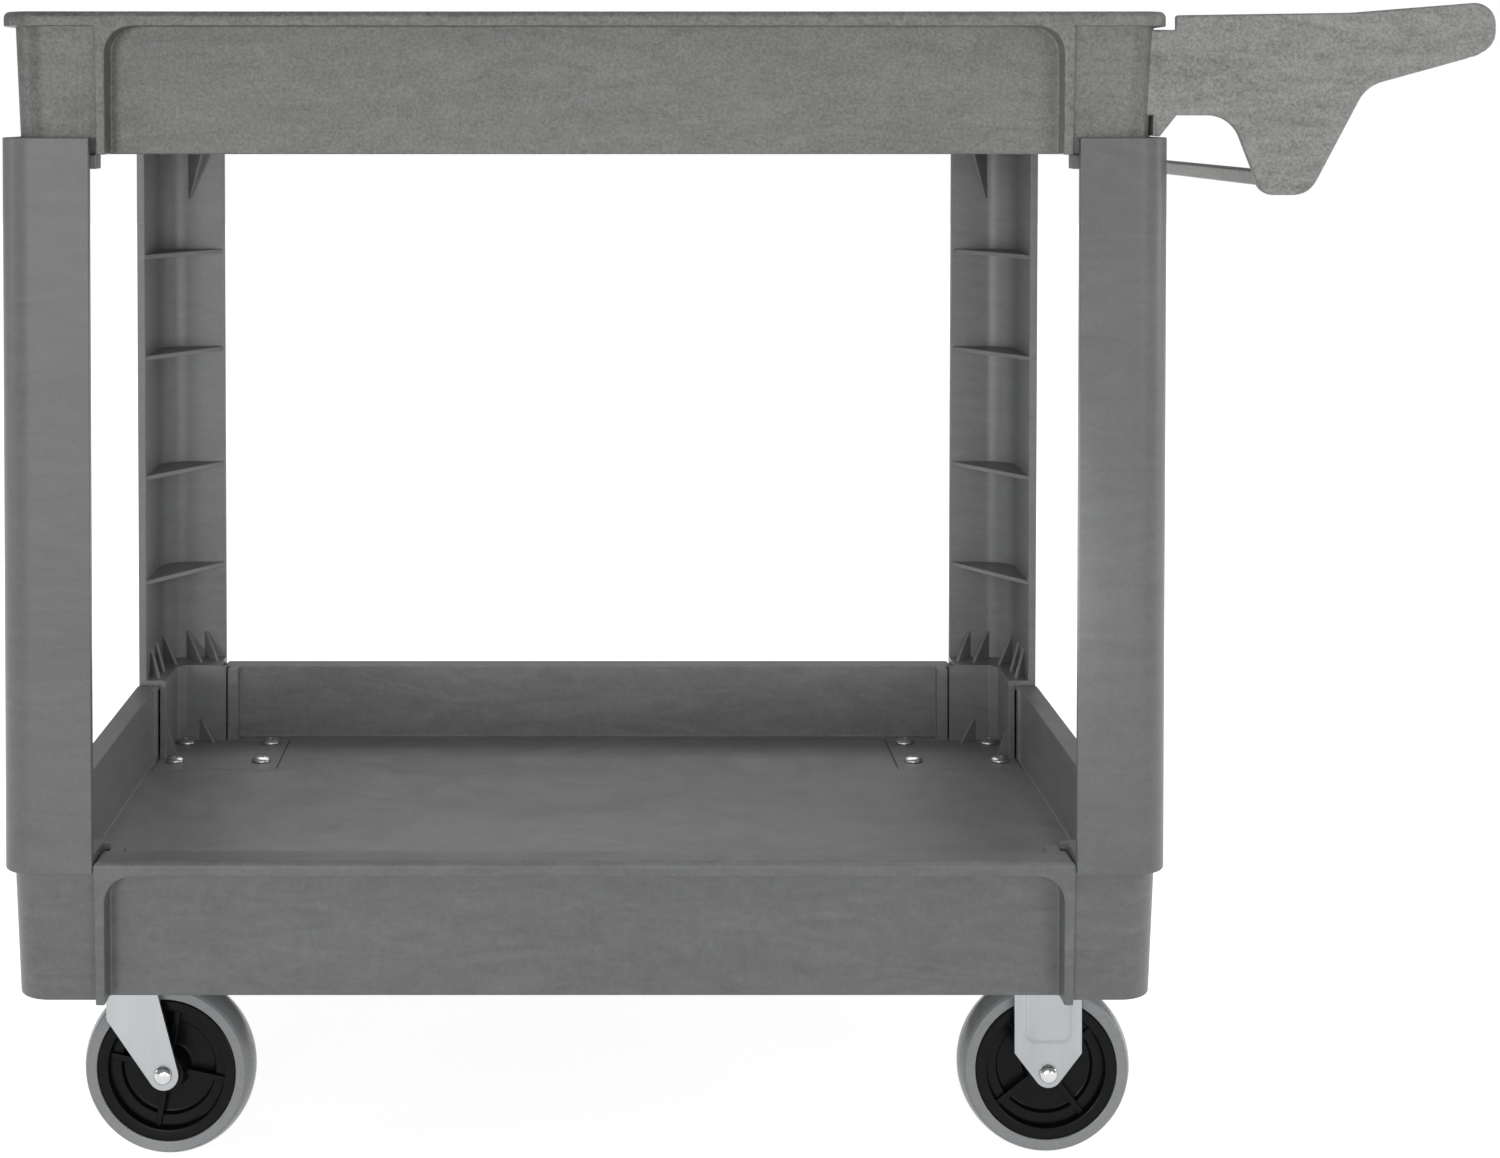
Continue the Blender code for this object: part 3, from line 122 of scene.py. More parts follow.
# Levels
MOUNT_HEIGHT = 0.15875
POCKET_TOP = MOUNT_HEIGHT + FIT + FLOOR
LOWER_FLOOR_TOP = POCKET_TOP + FIT + FOOT_PLATE
POCKET_DEPTH = LOWER_FLOOR_TOP - POCKET_TOP
LOWER_RIM_Z = LOWER_FLOOR_TOP + WELL_DEPTH
UPPER_RIM_Z = 0.8407
CORNER_TOP_Z = LOWER_RIM_Z - LIP_HEIGHT / 2
LOWER_LEDGE_Z = CORNER_TOP_Z + FIT
POST_BOTTOM_Z = LOWER_LEDGE_Z - 0.0034
UPPER_LEDGE_TOP = UPPER_RIM_Z - TRAY_HEIGHT - FIT
POST_TOP_Z = UPPER_LEDGE_TOP + 0.0124
TOP_PLATE_Z = UPPER_RIM_Z - WELL_DEPTH - POCKET_DEPTH - FLOOR - FIT

# Plan places
POST_X = LIP_X - 0.0025
POST_Y = LIP_Y + 0.003
POST_EDGE_X = POST_X - 0.066
POST_EDGE_Y = POST_Y - 0.1055
INSERT_X = LIP_X - 0.022
INSERT_Y = LIP_Y - 0.034
FOOT_EDGE_X = INSERT_X - 0.112
FOOT_EDGE_Y = INSERT_Y - INSERT_WALL - 0.105
ORIGIN_X = -0.2367 / 2
CORNERS = {
    "front_left": (-1, -1),
    "front_right": (1, -1),
    "back_left": (-1, 1),
    "back_right": (1, 1),
}

# Handle
HANDLE_REACH = LIP_X + 0.2367
HANDLE_TOP = 0.847
HANDLE_PLATE = 0.006
HANDLE_Y = 0.2975
ARM_BOTTOM_Z = 0.7665
LOBE_BOTTOM_Z = 0.7093
LOBE_BACK = (0.4860, LOBE_BOTTOM_Z, 0.012)
LOBE_FRONT = (0.5200, LOBE_BOTTOM_Z, 0.020)
ARM_UNDERSIDE = (
    (0.5613, 0.7874, 0.028),
    (0.6330, 0.8072, 0.060),
    (HANDLE_REACH, 0.8157, 0.0185),
)
ARM_TOP = (
    (HANDLE_REACH, HANDLE_TOP + 0.0016, 0.0195),
    (0.5500, 0.8403, 0.150),
)
ARM_START = (0.4640, ARM_BOTTOM_Z, 0.024)
ARM_RUN_IN = 0.025
HANDLE_EDGE = 0.0016
FLANGE_TRIM = 0.001
HANDLE_FLANGE = 0.005
GUSSET_REACH = 0.012
TIE_X = 0.4822
TIE_TOP_Z = 0.7270
TIE_HEIGHT = 0.011
TIE_DEPTH = 0.014
TIE_ROUND = 0.0015
LOBE_PAD = 0.013
BIN_REACH = 0.545
BIN_WALL = 0.005
BIN_RISE = 0.001
BIN_TOP_DROP = 0.004
BIN_OUTER_ROUND = 0.006
BIN_INNER_ROUND = 0.003
BIN_RIM_ROUND = 0.001
GRIP_RADIUS = 0.0185
GRIP_BACK = 0.0200
GRIP_DROP = 0.0203
NOTCH_REACH = 0.007
NOTCH_DROP = 0.0022
NOTCH_ROUND = 0.0018
HANDLE_BOLTS_Y = (0.020, 0.053)
FLANGE_BOTTOM = POST_TOP_Z + FLANGE_TRIM
FLANGE_Y = HANDLE_Y - FLANGE_TRIM
NOTCH_BOTTOM = UPPER_RIM_Z - LIP_HEIGHT - NOTCH_DROP
INNER_Y = HANDLE_Y - HANDLE_PLATE

# Bolts
BOLT_RADIUS = 0.004
BOLT_HEAD_RADIUS = 0.0087
BOLT_HEAD = 0.0045
BOLT_RIM = 0.0009
BOLT_CHAMFER = 0.0006
HEAD_CHAMFER = 0.0003
SOCKET_RADIUS = 0.0027
SOCKET_DEPTH = 0.0022
SOCKET_TAPER = 0.0002
NUT_RADIUS = 0.0070
NUT_HEIGHT = 0.0060
NUT_EDGE = 0.0004
NUT_TAIL = 0.0008
NUT_CORNER = 0.0006
CASTER_BOLTS_X = 0.0795
CASTER_BOLTS_Y = 0.065
SCREW_TAIL = 0.006

# Casters
CASTER_X = 0.3398
CASTER_Y = 0.2345
TOP_PLATE = 0.003
TOP_PLATE_X = 0.100
TOP_PLATE_Y = 0.086
TOP_PLATE_CORNER = 0.008
TRAIL = 0.033
REST_STEER = math.radians(-5)
RACE_RADIUS = 0.030
CROWN_TOP = 0.135
CROWN_STEP = 0.0004  # how far the legs' bend lies below the crown
FORK_SHEET = 0.003
FORK_HALF_WIDTH = 0.024
FORK_BEND = 0.006
FORK_BACK = 0.0096
FORK_FRONT = 0.029
FORK_KNEE_Z = 0.1027
FORK_SHOULDER_Z = 0.122
FORK_TIP_RADIUS = 0.0115
FORK_CORNER = 0.003
FORK_BLANK = 0.060
RIGID_BLANK = 0.040
LEG_CUTTER = 0.040
LEG_BOTTOM_Z = 0.040
RIGID_HALF = 0.02475
RIGID_SHOULDER_Z = 0.0785
RIGID_TIP_RADIUS = 0.0105
RIGID_CORNER = 0.001
EMBOSS_HALF = 0.0185
EMBOSS_TOP_Z = 0.1400
EMBOSS_BOTTOM_Z = 0.0850
EMBOSS_CORNER = 0.009
EMBOSS_SLOPE = 0.0045
EMBOSS_HEIGHT = 0.0014
EMBOSS_STEPS = 6
KINGPIN_RADIUS = 0.0063
METAL_EDGE = 0.0005

# Wheels
WHEEL_RADIUS = 0.0635
AXLE_RADIUS = 0.0048
AXLE_HEAD_RADIUS = 0.0067
AXLE_HEAD = 0.0042
AXLE_RIM = 0.0006
AXLE_CHAMFER = (0.0002, 0.0003)
BUSHING_RADIUS = 0.0087
BUSHING_EDGE = 0.0004
BARREL_RADIUS = 0.014
RIM_RADIUS = 0.052
HUB_RIB = 0.0046
HUB_RIB_HALF = 0.0100
HUB_RIB_REACH = 0.0440
HUB_RIBS = 4
WHEEL_SIDES = 128
AXLE_SIDES = 48
SWIVEL_HUB_TURN = math.radians(80)
RIGID_HUB_TURN = math.radians(38)

# Curves
ARC_STEPS = 12
SMALL_STEPS = 3
TIP_STEPS = 16
SMALL_ARC = 0.0035  # arcs up to this radius take the small number of steps
SHARP_ANGLE = math.radians(32)
BEVEL_ANGLE = math.radians(40)
NEAR = 1e-5

# Rounded edges of extruded pieces
SLAB_EDGE = 0.0008
FINE_EDGE = 0.0006
PLATE_EDGE = 0.0005


def object_from(bm):
    """A new object from a bmesh, with its faces pointing out."""
    bmesh.ops.remove_doubles(bm, verts=bm.verts, dist=2e-7)
    bmesh.ops.recalc_face_normals(bm, faces=bm.faces)
    mesh = bpy.data.meshes.new("piece")
    bm.to_mesh(mesh)
    bm.free()
    made = bpy.data.objects.new("piece", mesh)
    bpy.context.scene.collection.objects.link(made)
    return made


def skin(rings):
    """A closed solid through rings of the same number of points, with flat ends."""
    bm = bmesh.new()
    loops = [[bm.verts.new(point) for point in ring] for ring in rings]
    for low, high in zip(loops, loops[1:]):
        for i in range(len(low)):
            j = (i + 1) % len(low)
            bm.faces.new((low[i], low[j], high[j], high[i]))
    bm.faces.new(loops[0][::-1])
    bm.faces.new(loops[-1])
    return object_from(bm)


def turned(profile, sides, turn=0.0):
    """A closed profile of radius and height turned about Z. A radius of 0 closes on the axis."""
    bm = bmesh.new()
    rings = []
    for radius, z in profile:
        if radius == 0:
            rings.append([bm.verts.new((0, 0, z))] * sides)
            continue
        ring = []
        for i in range(sides):
            angle = turn + 2 * math.pi * i / sides
            ring.append(bm.verts.new((radius * math.cos(angle), radius * math.sin(angle), z)))
        rings.append(ring)
    for k, ring in enumerate(rings):
        above = rings[(k + 1) % len(rings)]
        for i in range(sides):
            j = (i + 1) % sides
            corners = []
            for vert in (ring[i], ring[j], above[j], above[i]):
                if vert not in corners:
                    corners.append(vert)
            if len(corners) > 2:
                bm.faces.new(corners)
    return object_from(bm)


def rounded(corners, steps=None):
    """Replaces each corner (x, y, radius) of a closed outline by an arc."""
    points = []
    count = len(corners)
    for i, (x, y, radius) in enumerate(corners):
        here = Vector((x, y))
        if radius == 0:
            points.append((x, y))
            continue
        pieces = steps or (SMALL_STEPS if radius <= SMALL_ARC else ARC_STEPS)
        before = Vector(corners[i - 1][:2]) - here
        after = Vector(corners[(i + 1) % count][:2]) - here
        half = before.angle(after) / 2
        reach = min(radius / math.tan(half), before.length / 2, after.length / 2)
        fitted = reach * math.tan(half)
        middle = (before.normalized() + after.normalized()).normalized()
        centre = here + middle * (fitted / math.sin(half))
        start = here + before.normalized() * reach - centre
        sweep = math.pi - 2 * half
        if before.cross(after) > 0:
            sweep = -sweep
        for k in range(pieces + 1):
            spoke = start.copy()
            spoke.rotate(Matrix.Rotation(sweep * k / pieces, 2))
            points.append(tuple(centre + spoke))
    return points


def inset(outline, distance):
    """Moves a closed outline inwards, or outwards where the distance is negative."""
    count = len(outline)
    area = 0
    for i in range(count):
        x0, y0 = outline[i - 1]
        x1, y1 = outline[i]
        area += x0 * y1 - x1 * y0
    side = distance if area > 0 else -distance
    moved = []
    for i, (x, y) in enumerate(outline):
        before = Vector((x, y)) - Vector(outline[i - 1])
        after = Vector(outline[(i + 1) % count]) - Vector((x, y))
        first = Vector((-before.y, before.x)).normalized()
        second = Vector((-after.y, after.x)).normalized()
        step = (first + second) * side / (1 + first.dot(second))
        moved.append((x + step.x, y + step.y))
    return moved


def quarter_arc(steps=SMALL_STEPS):
    """Pairs of how far in and how far along a rounded edge is, from its end to its side."""
    pairs = []
    for k in range(steps + 1):
        angle = math.pi / 2 * k / steps
        pairs.append((1 - math.sin(angle), 1 - math.cos(angle)))
    return pairs


def lay(outline, level, axis):
    """An outline as points in space, at a level of the axis across it."""
    if axis == "Z":
        return [(u, v, level) for u, v in outline]
    if axis == "Y":
        return [(u, level, v) for u, v in outline]
    return [(level, u, v) for u, v in outline]


def slab(outline, low, high, axis="Z", edge=SLAB_EDGE, steps=SMALL_STEPS):
    """An outline extruded along an axis, with all its edges rounded."""
    rings = []
    for share, along in quarter_arc(steps):
        rings.append(lay(inset(outline, edge * share), low + edge * along, axis))
    for share, along in reversed(quarter_arc(steps)):
        rings.append(lay(inset(outline, edge * share), high - edge * along, axis))
    return skin(rings)


def plain(outline, low, high, axis="Z"):
    """An outline extruded along an axis."""
    return skin([lay(outline, low, axis), lay(outline, high, axis)])


def rectangle(x, y):
    """The corners of a rectangle from pairs of limits."""
    return [(x[0], y[0]), (x[1], y[0]), (x[1], y[1]), (x[0], y[1])]


def box(x, y, z):
    """A box from pairs of limits."""
    return plain(rectangle(x, y), *z)


def combine(base, tool, operation):
    """Applies a Boolean to the base and removes the tool."""
    modifier = base.modifiers.new(operation.lower(), "BOOLEAN")
    modifier.operation = operation
    modifier.solver = "EXACT"
    modifier.object = tool
    apply(base)
    bpy.data.objects.remove(tool)
    return base


def apply(made):
    """Turns a piece's modifiers into its mesh."""
    depsgraph = bpy.context.evaluated_depsgraph_get()
    mesh = bpy.data.meshes.new_from_object(made.evaluated_get(depsgraph))
    made.modifiers.clear()
    old = made.data
    made.data = mesh
    bpy.data.meshes.remove(old)
    return made


def union(base, *tools):
    """Adds each tool to the base."""
    for tool in tools:
        combine(base, tool, "UNION")
    return base


def cut(base, *tools):
    """Takes each tool out of the base."""
    for tool in tools:
        combine(base, tool, "DIFFERENCE")
    return base


def moved(made, x=0.0, y=0.0, z=0.0):
    """Moves a piece's mesh."""
    made.data.transform(Matrix.Translation((x, y, z)))
    return made


def spun(made, angle, axis="Z"):
    """Turns a piece's mesh about an axis."""
    made.data.transform(Matrix.Rotation(angle, 4, axis))
    return made


def mirrored(made, sx, sy):
    """Carries a mesh made for the +X +Y corner to another corner."""
    made.data.transform(Matrix.Diagonal((sx, sy, 1, 1)))
    if sx * sy < 0:
        made.data.flip_normals()
    return made


def copy_of(made):
    """A second object with a mesh of its own."""
    twin = bpy.data.objects.new("piece", made.data.copy())
    bpy.context.scene.collection.objects.link(twin)
    return twin


def split(made, pitch):
    """Divides the faces of a wide moulding by planes across X and Y, so that none has a hole."""
    bm = bmesh.new()
    bm.from_mesh(made.data)
    for axis, reach in ((0, LIP_X), (1, LIP_Y)):
        count = int(reach / pitch)
        for k in range(-count, count + 1):
            place = [0, 0, 0]
            place[axis] = (k + SPLIT_START) * pitch
            normal = [0, 0, 0]
            normal[axis] = 1
            faces = bm.verts[:] + bm.edges[:] + bm.faces[:]
            bmesh.ops.bisect_plane(bm, geom=faces, plane_co=place, plane_no=normal)
    bm.to_mesh(made.data)
    bm.free()
    return made


def softened(made):
    """Small bevels on the sharp edges of a piece of sheet metal."""
    modifier = made.modifiers.new("edge", "BEVEL")
    modifier.width = METAL_EDGE
    modifier.segments = 2
    modifier.limit_method = "ANGLE"
    modifier.angle_limit = BEVEL_ANGLE
    modifier.use_clamp_overlap = True
    return apply(made)


def finish(made, node, look, body="cart"):
    """Names a piece, dresses it with a material, and lets it stand for its CAD node."""
    surface, slot = look
    made.name = node + "_fine"
    made.data.name = made.name
    made.data.materials.clear()
    made.data.materials.append(surface)
    made.data.shade_smooth()
    made.data.set_sharp_from_angle(angle=SHARP_ANGLE)
    weighted = made.modifiers.new("weighted", "WEIGHTED_NORMAL")
    weighted.keep_sharp = True
    weighted.weight = 60
    apply(made)
    moved(made, ORIGIN_X)
    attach(made, body)
    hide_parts(node)


def quarters(points):
    """A closed outline from its quarter between +X and +Y; anything after x and y is kept."""
    outline = list(points)
    outline += [(-p[0], *p[1:]) for p in reversed(points)]
    outline += [(-p[0], -p[1], *p[2:]) for p in points]
    outline += [(p[0], -p[1], *p[2:]) for p in reversed(points)]
    return outline


def corner_arc(x, y, radius, steps=ARC_STEPS):
    """The arc of an outer corner at x, y, from the +X side to the +Y side."""
    points = []
    for k in range(steps + 1):
        angle = math.pi / 2 * k / steps
        points.append((x - radius + radius * math.cos(angle), y - radius + radius * math.sin(angle)))
    return points


def inset_at(drop):
    """The corner wall's place behind the lip, at a depth below the rim."""
    return CORNER_INSET_TOP + (CORNER_INSET_BOTTOM - CORNER_INSET_TOP) * drop / TRAY_HEIGHT


def wall_outline(drop, grow=0.0):
    """Outer plan outline of a tray's wall at a depth below the rim."""
    along = min(max(drop - LIP_HEIGHT, 0), ARCH)
    arch = ARCH - math.sqrt(max(ARCH**2 - (ARCH - along) ** 2, 0))
    back = inset_at(drop) - grow
    share = drop / TRAY_HEIGHT
    outer_x = POST_EDGE_X - FIT - FLANGE_OUTER_DRAFT * share + grow
    outer_y = POST_EDGE_Y - FIT - FLANGE_OUTER_DRAFT * share + grow
    inner = FLANGE - FLANGE_OUTER_DRAFT * share + FLANGE_INNER_DRAFT * share + arch + 2 * grow
    end_panel = LIP_X - END_RECESS + grow
    long_panel = LIP_Y - LONG_RECESS + grow
    lip_x = LIP_X + grow
    lip_y = LIP_Y + grow
    quarter = [
        (end_panel, outer_y - inner, TRAY_FILLET),
        (lip_x, outer_y - inner, TRAY_EDGE),
        (lip_x, outer_y, TRAY_EDGE),
        (LIP_X - back, outer_y, TRAY_EDGE),
        (LIP_X - back, LIP_Y - back, CORNER_RADIUS),
        (outer_x, LIP_Y - back, TRAY_EDGE),
        (outer_x, lip_y, TRAY_EDGE),
        (outer_x - inner, lip_y, TRAY_EDGE),
        (outer_x - inner, long_panel, TRAY_FILLET),
    ]
    return rounded(quarters(quarter))


def lip_point(x, y, back, corner_lip):
    """The place on the lip's outline, or behind it, that belongs to a point of the wall."""
    ax = abs(x)
    ay = abs(y)
    cx = LIP_X - LIP_CORNER
    cy = LIP_Y - LIP_CORNER
    if not corner_lip and ax > POST_EDGE_X - FIT - NEAR and ay > POST_EDGE_Y - FIT - NEAR:
        return x, y
    if ax > cx and ay > cy:
        spoke = Vector((ax - cx, ay - cy)).normalized() * (LIP_CORNER - back)
        return math.copysign(cx + spoke.x, x), math.copysign(cy + spoke.y, y)
    if ax > cx:
        return math.copysign(LIP_X - back, x), y
    return x, math.copysign(LIP_Y - back, y)


def tray_rings(rim_z, corner_lip):
    """Rings of a tray's outside, from its rim down to the bottom of its skirt."""
    wall = wall_outline(LIP_HEIGHT)
    rings = []
    for share, along in quarter_arc(6):
        ring = [lip_point(x, y, LIP_TOP_ROUND * share, corner_lip) for x, y in wall]
        rings.append(lay(ring, rim_z - LIP_TOP_ROUND * along, "Z"))
    low_z = rim_z - LIP_HEIGHT
    for rise, back in quarter_arc():
        ring = []
        for x, y in wall:
            edge = Vector(lip_point(x, y, 0, corner_lip))
            way = Vector((x, y)) - edge
            if way.length > 1e-6:
                edge += way.normalized() * min(LIP_LOW_ROUND * back, way.length)
            ring.append(tuple(edge))
        rings.append(lay(ring, low_z + LIP_LOW_ROUND * rise, "Z"))
    rings.append(lay(wall, low_z, "Z"))
    for k in range(1, ARC_STEPS + 1):
        drop = LIP_HEIGHT + ARCH * (1 - math.cos(math.pi / 2 * k / ARC_STEPS))
        rings.append(lay(wall_outline(drop), rim_z - drop, "Z"))
    foot = wall_outline(TRAY_HEIGHT)
    for share, along in reversed(quarter_arc()):
        rings.append(lay(inset(foot, WELL_EDGE * share), rim_z - TRAY_HEIGHT + WELL_EDGE * along, "Z"))
    return rings


def well_outline(drop, bands):
    """Inner plan outline of a tray's wall, with the pilasters beside the posts if asked."""
    back = inset_at(drop) + WALL
    end_face = LIP_X - END_RECESS - WALL
    long_face = LIP_Y - LONG_RECESS - WALL
    side_x = POST_EDGE_X - FIT
    side_y = POST_EDGE_Y - FIT
    band_x = side_x - BAND_GAP
    band_y = side_y - BAND_GAP
    quarter = []
    if bands:
        quarter += [
            (end_face, band_y - BAND_WIDTH, WELL_ROUND),
            (end_face - END_BAND_DEPTH, band_y - BAND_WIDTH, WELL_ROUND),
            (end_face - END_BAND_DEPTH, band_y, WELL_ROUND),
            (end_face, band_y, WELL_ROUND),
        ]
    quarter += [
        (end_face, side_y, WELL_ROUND),
        (LIP_X - back, side_y, WELL_ROUND),
        (LIP_X - back, LIP_Y - back, CORNER_RADIUS - WALL),
        (side_x, LIP_Y - back, WELL_ROUND),
        (side_x, long_face, WELL_ROUND),
    ]
    if bands:
        quarter += [
            (band_x, long_face, WELL_ROUND),
            (band_x, long_face - LONG_BAND_DEPTH, WELL_ROUND),
            (band_x - BAND_WIDTH, long_face - LONG_BAND_DEPTH, WELL_ROUND),
            (band_x - BAND_WIDTH, long_face, WELL_ROUND),
        ]
    return rounded(quarters(quarter))


def hollow(low_outline, high_outline, low_z, high_z, low_edge, high_edge):
    """A cutter whose ends pull in, or spread out where the edge is negative, along an arc."""
    rings = []
    if low_edge < 0:
        rings.append(lay(inset(low_outline, low_edge), low_z - OVERRUN, "Z"))
    for share, along in quarter_arc():
        rings.append(lay(inset(low_outline, low_edge * share), low_z + abs(low_edge) * along, "Z"))
    for share, along in reversed(quarter_arc()):
        rings.append(lay(inset(high_outline, high_edge * share), high_z - abs(high_edge) * along, "Z"))
    if high_edge < 0:
        rings.append(lay(inset(high_outline, high_edge), high_z + OVERRUN, "Z"))
    return skin(rings)


def corner_block(edge_x, edge_y, z0, z1):
    """A block over the +X +Y corner that runs out through the walls."""
    return box((edge_x, LIP_X + OVERRUN), (edge_y, LIP_Y + OVERRUN), (z0, z1))


def foot_outline(grow=0.0):
    """Plan outline of a post's foot plate in the +X +Y corner; grown, it is the tray's pocket."""
    tab_x = POST_EDGE_X - INSERT_END - grow
    inner_y = INSERT_Y - INSERT_WALL - FIT + grow
    corners = [
        (FOOT_EDGE_X - grow, FOOT_EDGE_Y - grow, FOOT_CORNER),
        (INSERT_X + grow, FOOT_EDGE_Y - grow, POST_EDGE),
        (INSERT_X + grow, INSERT_Y + grow, POST_EDGE),
        (tab_x, INSERT_Y + grow, POST_EDGE),
        (tab_x, inner_y, POST_EDGE),
        (FOOT_EDGE_X - grow, inner_y, POST_EDGE),
    ]
    return rounded(corners)


def rib_lattice(z0, z1):
    """The crossing ribs under a tray's floor, which stop short of the pockets."""
    half = TRAY_RIB / 2 * math.hypot(1, TRAY_RIB_SLOPE)
    bars = []
    for side in (-1, 1):
        for step in (-1, 0, 1):
            middle = step * TRAY_RIB_PITCH
            rise = side * TRAY_RIB_SLOPE * LIP_X
            outline = [
                (-LIP_X, middle - rise - half),
                (LIP_X, middle + rise - half),
                (LIP_X, middle + rise + half),
                (-LIP_X, middle - rise + half),
            ]
            bars.append(plain(outline, z0, z1))
    lattice = union(*bars)
    edge_x = FOOT_EDGE_X - WALL + OVERRUN / 2
    edge_y = FOOT_EDGE_Y - WALL + OVERRUN / 2
    for sx, sy in CORNERS.values():
        reach = box((edge_x, 2 * LIP_X), (edge_y, 2 * LIP_Y), (z0 - OVERRUN, z1 + OVERRUN))
        cut(lattice, mirrored(reach, sx, sy))
    return lattice


def under_space(rim_z, rib_depth):
    """What is hollow under a tray's floor: the skirt's inside, less the ribs and the pockets."""
    floor_under = rim_z - WELL_DEPTH - FLOOR
    pocket_under = floor_under - POCKET_DEPTH
    low = well_outline(TRAY_HEIGHT, False)
    high = well_outline(WELL_DEPTH + FLOOR, False)
    space = hollow(low, high, rim_z - TRAY_HEIGHT, floor_under, -WELL_EDGE, WELL_EDGE)
    for sx, sy in CORNERS.values():
        block = corner_block(FOOT_EDGE_X - WALL, FOOT_EDGE_Y - WALL, pocket_under, floor_under + OVERRUN)
        cut(space, mirrored(block, sx, sy))
    return cut(space, rib_lattice(floor_under - rib_depth, floor_under + OVERRUN))


def corner_opening(rim_z):
    """The cutter that opens a tray's corner for a post and rounds the lip's ends beside it."""
    edge_x = POST_EDGE_X - FIT
    edge_y = POST_EDGE_Y - FIT
    corners = [
        (edge_x, edge_y, TRAY_EDGE),
        (LIP_X + WALL, edge_y, 0),
        (LIP_X + WALL, LIP_Y + WALL, 0),
        (edge_x, LIP_Y + WALL, 0),
    ]
    outline = rounded(corners)
    rings = [lay(outline, CORNER_TOP_Z, "Z")]
    for drop, out in quarter_arc(8):
        rings.append(lay(inset(outline, -LIP_END_ROUND * out), rim_z - LIP_END_ROUND * drop, "Z"))
    rings.append(lay(inset(outline, -LIP_END_ROUND), rim_z + OVERRUN, "Z"))
    return skin(rings)


def tray(rim_z, for_posts):
    """One tray moulding. The lower one has its corners open for the posts."""
    floor_top = rim_z - WELL_DEPTH
    body = skin(tray_rings(rim_z, not for_posts))
    well_low = well_outline(WELL_DEPTH, for_posts)
    well_high = well_outline(0, for_posts)
    well = hollow(well_low, well_high, floor_top, rim_z, WELL_EDGE, -WELL_EDGE)
    rib_depth = LOWER_RIB_DEPTH if for_posts else UPPER_RIB_DEPTH
    cut(body, under_space(rim_z, rib_depth), well)
    for sx, sy in CORNERS.values():
        outline = foot_outline(POCKET_FIT)
        pocket = hollow(outline, outline, floor_top - POCKET_DEPTH, floor_top, POST_EDGE, -POST_EDGE / 2)
        cut(body, mirrored(pocket, sx, sy))
        if for_posts:
            cut(body, mirrored(corner_opening(rim_z), sx, sy))
    return split(body, SPLIT_PITCH)


def post_section():
    """Plan outline of a post's L, in the +X +Y corner."""
    face_x = POST_X - POST_WALL
    face_y = POST_Y - POST_WALL
    corners = [
        (face_x, POST_EDGE_Y, POST_EDGE),
        (POST_X, POST_EDGE_Y, POST_EDGE),
        (POST_X, POST_Y, POST_CORNER),
        (POST_EDGE_X, POST_Y, POST_EDGE),
        (POST_EDGE_X, face_y, POST_EDGE),
        (face_x, face_y, POST_CORNER),
    ]
    return rounded(corners)


def lean(z):
    """How far a post has leaned out at a height."""
    return POST_SPLAY * (z - POST_BOTTOM_Z) / (POST_TOP_Z - POST_BOTTOM_Z)


def post_rib(top_z):
    """One triangular cross rib of a post, its long edge straight between the flanges."""
    seat = POST_WALL - OVERRUN
    outline = [
        (POST_X - POST_WALL, POST_EDGE_Y + OVERRUN),
        (POST_X - seat, POST_EDGE_Y + OVERRUN),
        *corner_arc(POST_X - seat, POST_Y - seat, POST_CORNER),
        (POST_EDGE_X + OVERRUN, POST_Y - seat),
        (POST_EDGE_X + OVERRUN, POST_Y - POST_WALL),
    ]
    return moved(slab(outline, top_z - POST_RIB, top_z, edge=FINE_EDGE), lean(top_z))


def fin(x, y, reach_x, reach_y, base_z, tip_z):
    """A triangular gusset that stands on a plate at base_z against the wall at x, y."""
    into = math.copysign(OVERRUN, base_z - tip_z)
    length = math.hypot(reach_x, reach_y)
    shape = [
        (-OVERRUN, base_z + into),
        (length, base_z + into),
        (length, base_z),
        (FIN_TIP, tip_z),
        (-OVERRUN, tip_z),
    ]
    made = slab(shape, -FIN / 2, FIN / 2, "Y", edge=PLATE_EDGE, steps=2)
    return moved(spun(made, math.atan2(reach_y, reach_x)), x, y)


def insert_outline(outer_x, outer_y, start_x, start_y, corner):
    """Plan outline of the insert walls that stand inside a tray's corner."""
    inner_x = outer_x - INSERT_WALL
    inner_y = outer_y - INSERT_WALL
    corners = [
        (outer_x, start_y, POST_EDGE),
        (outer_x, outer_y, corner),
        (start_x, outer_y, POST_EDGE),
        (start_x, inner_y, POST_EDGE),
        (inner_x - INSERT_CHAMFER, inner_y, INSERT_BEND),
        (inner_x, inner_y - INSERT_CHAMFER, INSERT_BEND),
        (inner_x, start_y, POST_EDGE),
    ]
    return rounded(corners)


def ledge_outline(insert_x, insert_y, start_x, start_y, shift, tab):
    """Plan outline of a ledge, from the insert's inner face to the middle of the post's skin."""
    inner_x = insert_x - INSERT_WALL
    inner_y = insert_y - INSERT_WALL
    middle = POST_WALL / 2
    skin_x = POST_X + shift - middle
    skin_y = POST_Y - middle
    corners = [
        (inner_x, start_y, POST_EDGE),
        (skin_x, start_y, POST_EDGE),
        (skin_x, skin_y, POST_CORNER - middle),
        (start_x, skin_y, POST_EDGE),
    ]
    if tab:
        corners += [
            (start_x, skin_y - POST_WALL, POST_EDGE),
            (start_x - tab, skin_y - POST_WALL, POST_EDGE),
        ]
    corners += [
        (start_x - tab, inner_y, POST_EDGE),
        (inner_x - INSERT_CHAMFER, inner_y, INSERT_BEND),
        (inner_x, inner_y - INSERT_CHAMFER, INSERT_BEND),
    ]
    return rounded(corners)


